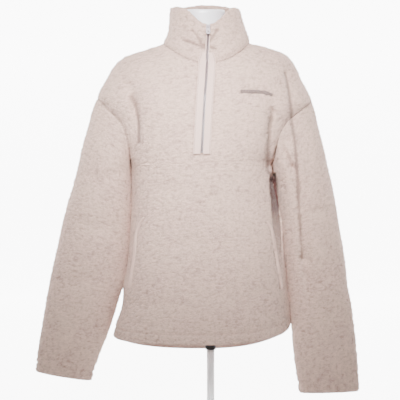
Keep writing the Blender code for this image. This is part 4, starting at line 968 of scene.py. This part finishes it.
# the neck's upper edge is rounded by 1.5 mm
top = form_rows[-1:]
inward = top.mean(axis=1, keepdims=True) - top
neck_end = [top + inward * share + np.array([0.0, 0.0, rise])
            for share, rise in ((0.012, 0.0006), (0.04, 0.0012), (0.10, 0.0015))]
points, faces = capped(np.concatenate([form_rows, *neck_end]))
form = make_piece("moulded_torso", points + GARMENT_MIDDLE, faces, shell_white)
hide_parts("form_torso")


def turned(profile, count):
    """A profile of radius and height carried round an upright axis."""
    radius, height = np.array(profile).T[..., None]
    turn = np.linspace(0.0, 2.0 * math.pi, count + 1)[:-1]
    return np.stack(np.broadcast_arrays(radius * np.cos(turn), radius * np.sin(turn), height), axis=-1)


# moulded nylon: near-black and half glossy, with a fine grain drawn 1.2 mm wide
black = grained("black_moulded_nylon", "ShaderNodeTexNoise", {"Scale": 800.0, "Detail": 2.0},
                relief=(0.1, 0.0002), Roughness=0.34, Base_Color=linear("#151313"))
points, faces = capped(turned([(0.0103, 0.1420), (0.0110, 0.1424), (0.0113, 0.1432), (0.0113, 0.1500),
                               (0.0108, 0.1503), (0.0108, 0.1516), (0.0113, 0.1519), (0.0113, 0.1980),
                               (0.0108, 0.1990), (0.0103, 0.1994)], 48))
fitting = make_piece("stand_socket", points, faces, black)
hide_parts("form_fitting")

# powder-coated steel: smooth half gloss, with the powder's orange peel about 1.7 mm wide
white_steel = grained("white_powder_coated_steel", "ShaderNodeTexNoise", {"Scale": 600.0, "Detail": 2.0},
                      relief=(0.12, 0.0002), Roughness=0.36, Base_Color=linear("#fbfafa"))
points, faces = capped(turned([(0.0080, 0.0125), (0.0080, 0.05), (0.0080, 0.10), (0.0080, 0.1415)], 48))
pole = make_piece("stand_tube", points, faces, white_steel)
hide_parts("stand_pole")
points, faces = capped(turned([(0.1435, 0.0), (0.1445, 0.0004), (0.1450, 0.0015), (0.1450, 0.0070),
                               (0.1446, 0.0084), (0.1436, 0.0096), (0.1420, 0.0104),
                               (0.1350, 0.0120)], 128))
foot = make_piece("stand_foot", points, faces, white_steel)
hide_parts("stand_base")

# ---------------------------------------------------------------------------
# Floor, light and camera
# A white sweep that glows as painted light, faintly in front of the object and strongly behind
# it, so that it burns out to white; one soft key light from above the front, and a weak, wide
# fill from the front.
# ---------------------------------------------------------------------------
SWEEP_FLOOR = -0.0002   # just under the foot
SWEEP_BACK = 4.8        # the upright part, behind the object
SWEEP_BEND = 1.2        # radius between the two
sweep_white, tree, shader = new_material(
    "glowing_white_sweep", Roughness=0.9, Specular_IOR_Level=0.0, Base_Color=linear("#d0d0d0"),
    Emission_Color=(1.0, 1.0, 1.0, 1.0))
place = add(tree, "ShaderNodeTexCoord").outputs["Object"]
apart = add(tree, "ShaderNodeSeparateXYZ", [("Vector", place)])
# painted light: the sweep's own emission, 0.1 in front of the object rising to 8 behind it
glow = add(tree, "ShaderNodeMapRange", [
    ("Value", apart.outputs["Y"]), ("From Min", 0.04), ("From Max", 0.27), ("To Min", 0.10),
    ("To Max", 8.0)], interpolation_type="SMOOTHSTEP")
tree.links.new(glow.outputs["Result"], shader.inputs["Emission Strength"])
bend = np.linspace(0.0, math.pi / 2.0, 13)
sweep_profile = np.concatenate([
    [(-6.0, SWEEP_FLOOR)],
    np.stack([SWEEP_BACK - SWEEP_BEND + SWEEP_BEND * np.sin(bend),
              SWEEP_BEND - SWEEP_BEND * np.cos(bend) + SWEEP_FLOOR], axis=1),
    [(SWEEP_BACK, 6.0)]])
sweep_sides = np.array([-8.0, 8.0])
sweep_grid = np.broadcast_arrays(sweep_sides, sweep_profile[:, :1], sweep_profile[:, 1:])
sweep_cells = cells_of(len(sweep_profile), 2, False, 1.0)
mesh = bpy.data.meshes.new("paper_sweep")
mesh.from_pydata(np.stack(sweep_grid, axis=-1).reshape(-1, 3).tolist(), [], sweep_cells.tolist())
floor = show("paper_sweep", mesh, sweep_white)

world = bpy.data.worlds.new("soft_studio")
bpy.context.scene.world = world
world.use_nodes = True
background = world.node_tree.nodes["Background"]
background.inputs["Color"].default_value = (1.0, 1.0, 1.0, 1.0)
background.inputs["Strength"].default_value = 0.37


def soft_light(name, place, aim, size, power, spread):
    """A round area light at a place, turned to face its aim."""
    light = bpy.data.lights.new(name, "AREA")
    light.spread = math.radians(spread)
    light.shape = "DISK"
    light.size = size
    light.energy = power
    lamp = bpy.data.objects.new(name, light)
    bpy.context.scene.collection.objects.link(lamp)
    lamp.location = place
    lamp.rotation_mode = "QUATERNION"
    lamp.rotation_quaternion = (Vector(place) - Vector(aim)).to_track_quat("Z", "Y")


soft_light("broad_top_light", (-0.1, -1.5, 1.45), (-0.03, -0.1, 0.64), 0.5, 4.75, 32.0)
soft_light("front_fill", (0.8, -3.2, 1.2), (0.0, 0.0, 0.45), 1.6, 12.0, 180.0)

CAMERA_AWAY = 3.0   # from the pole, level with the middle of the garment
VIEW_WIDTH = 0.84   # what the frame takes in at that distance
camera = bpy.data.cameras.new("camera")
camera.sensor_width = 36.0
camera.lens = camera.sensor_width * CAMERA_AWAY / VIEW_WIDTH
camera.clip_end = 60.0
eye = bpy.data.objects.new("camera", camera)
bpy.context.scene.collection.objects.link(eye)
eye.location = (-0.0223, -CAMERA_AWAY, 0.4557)
eye.rotation_euler = (math.pi / 2.0, 0.0, 0.0)
bpy.context.scene.camera = eye
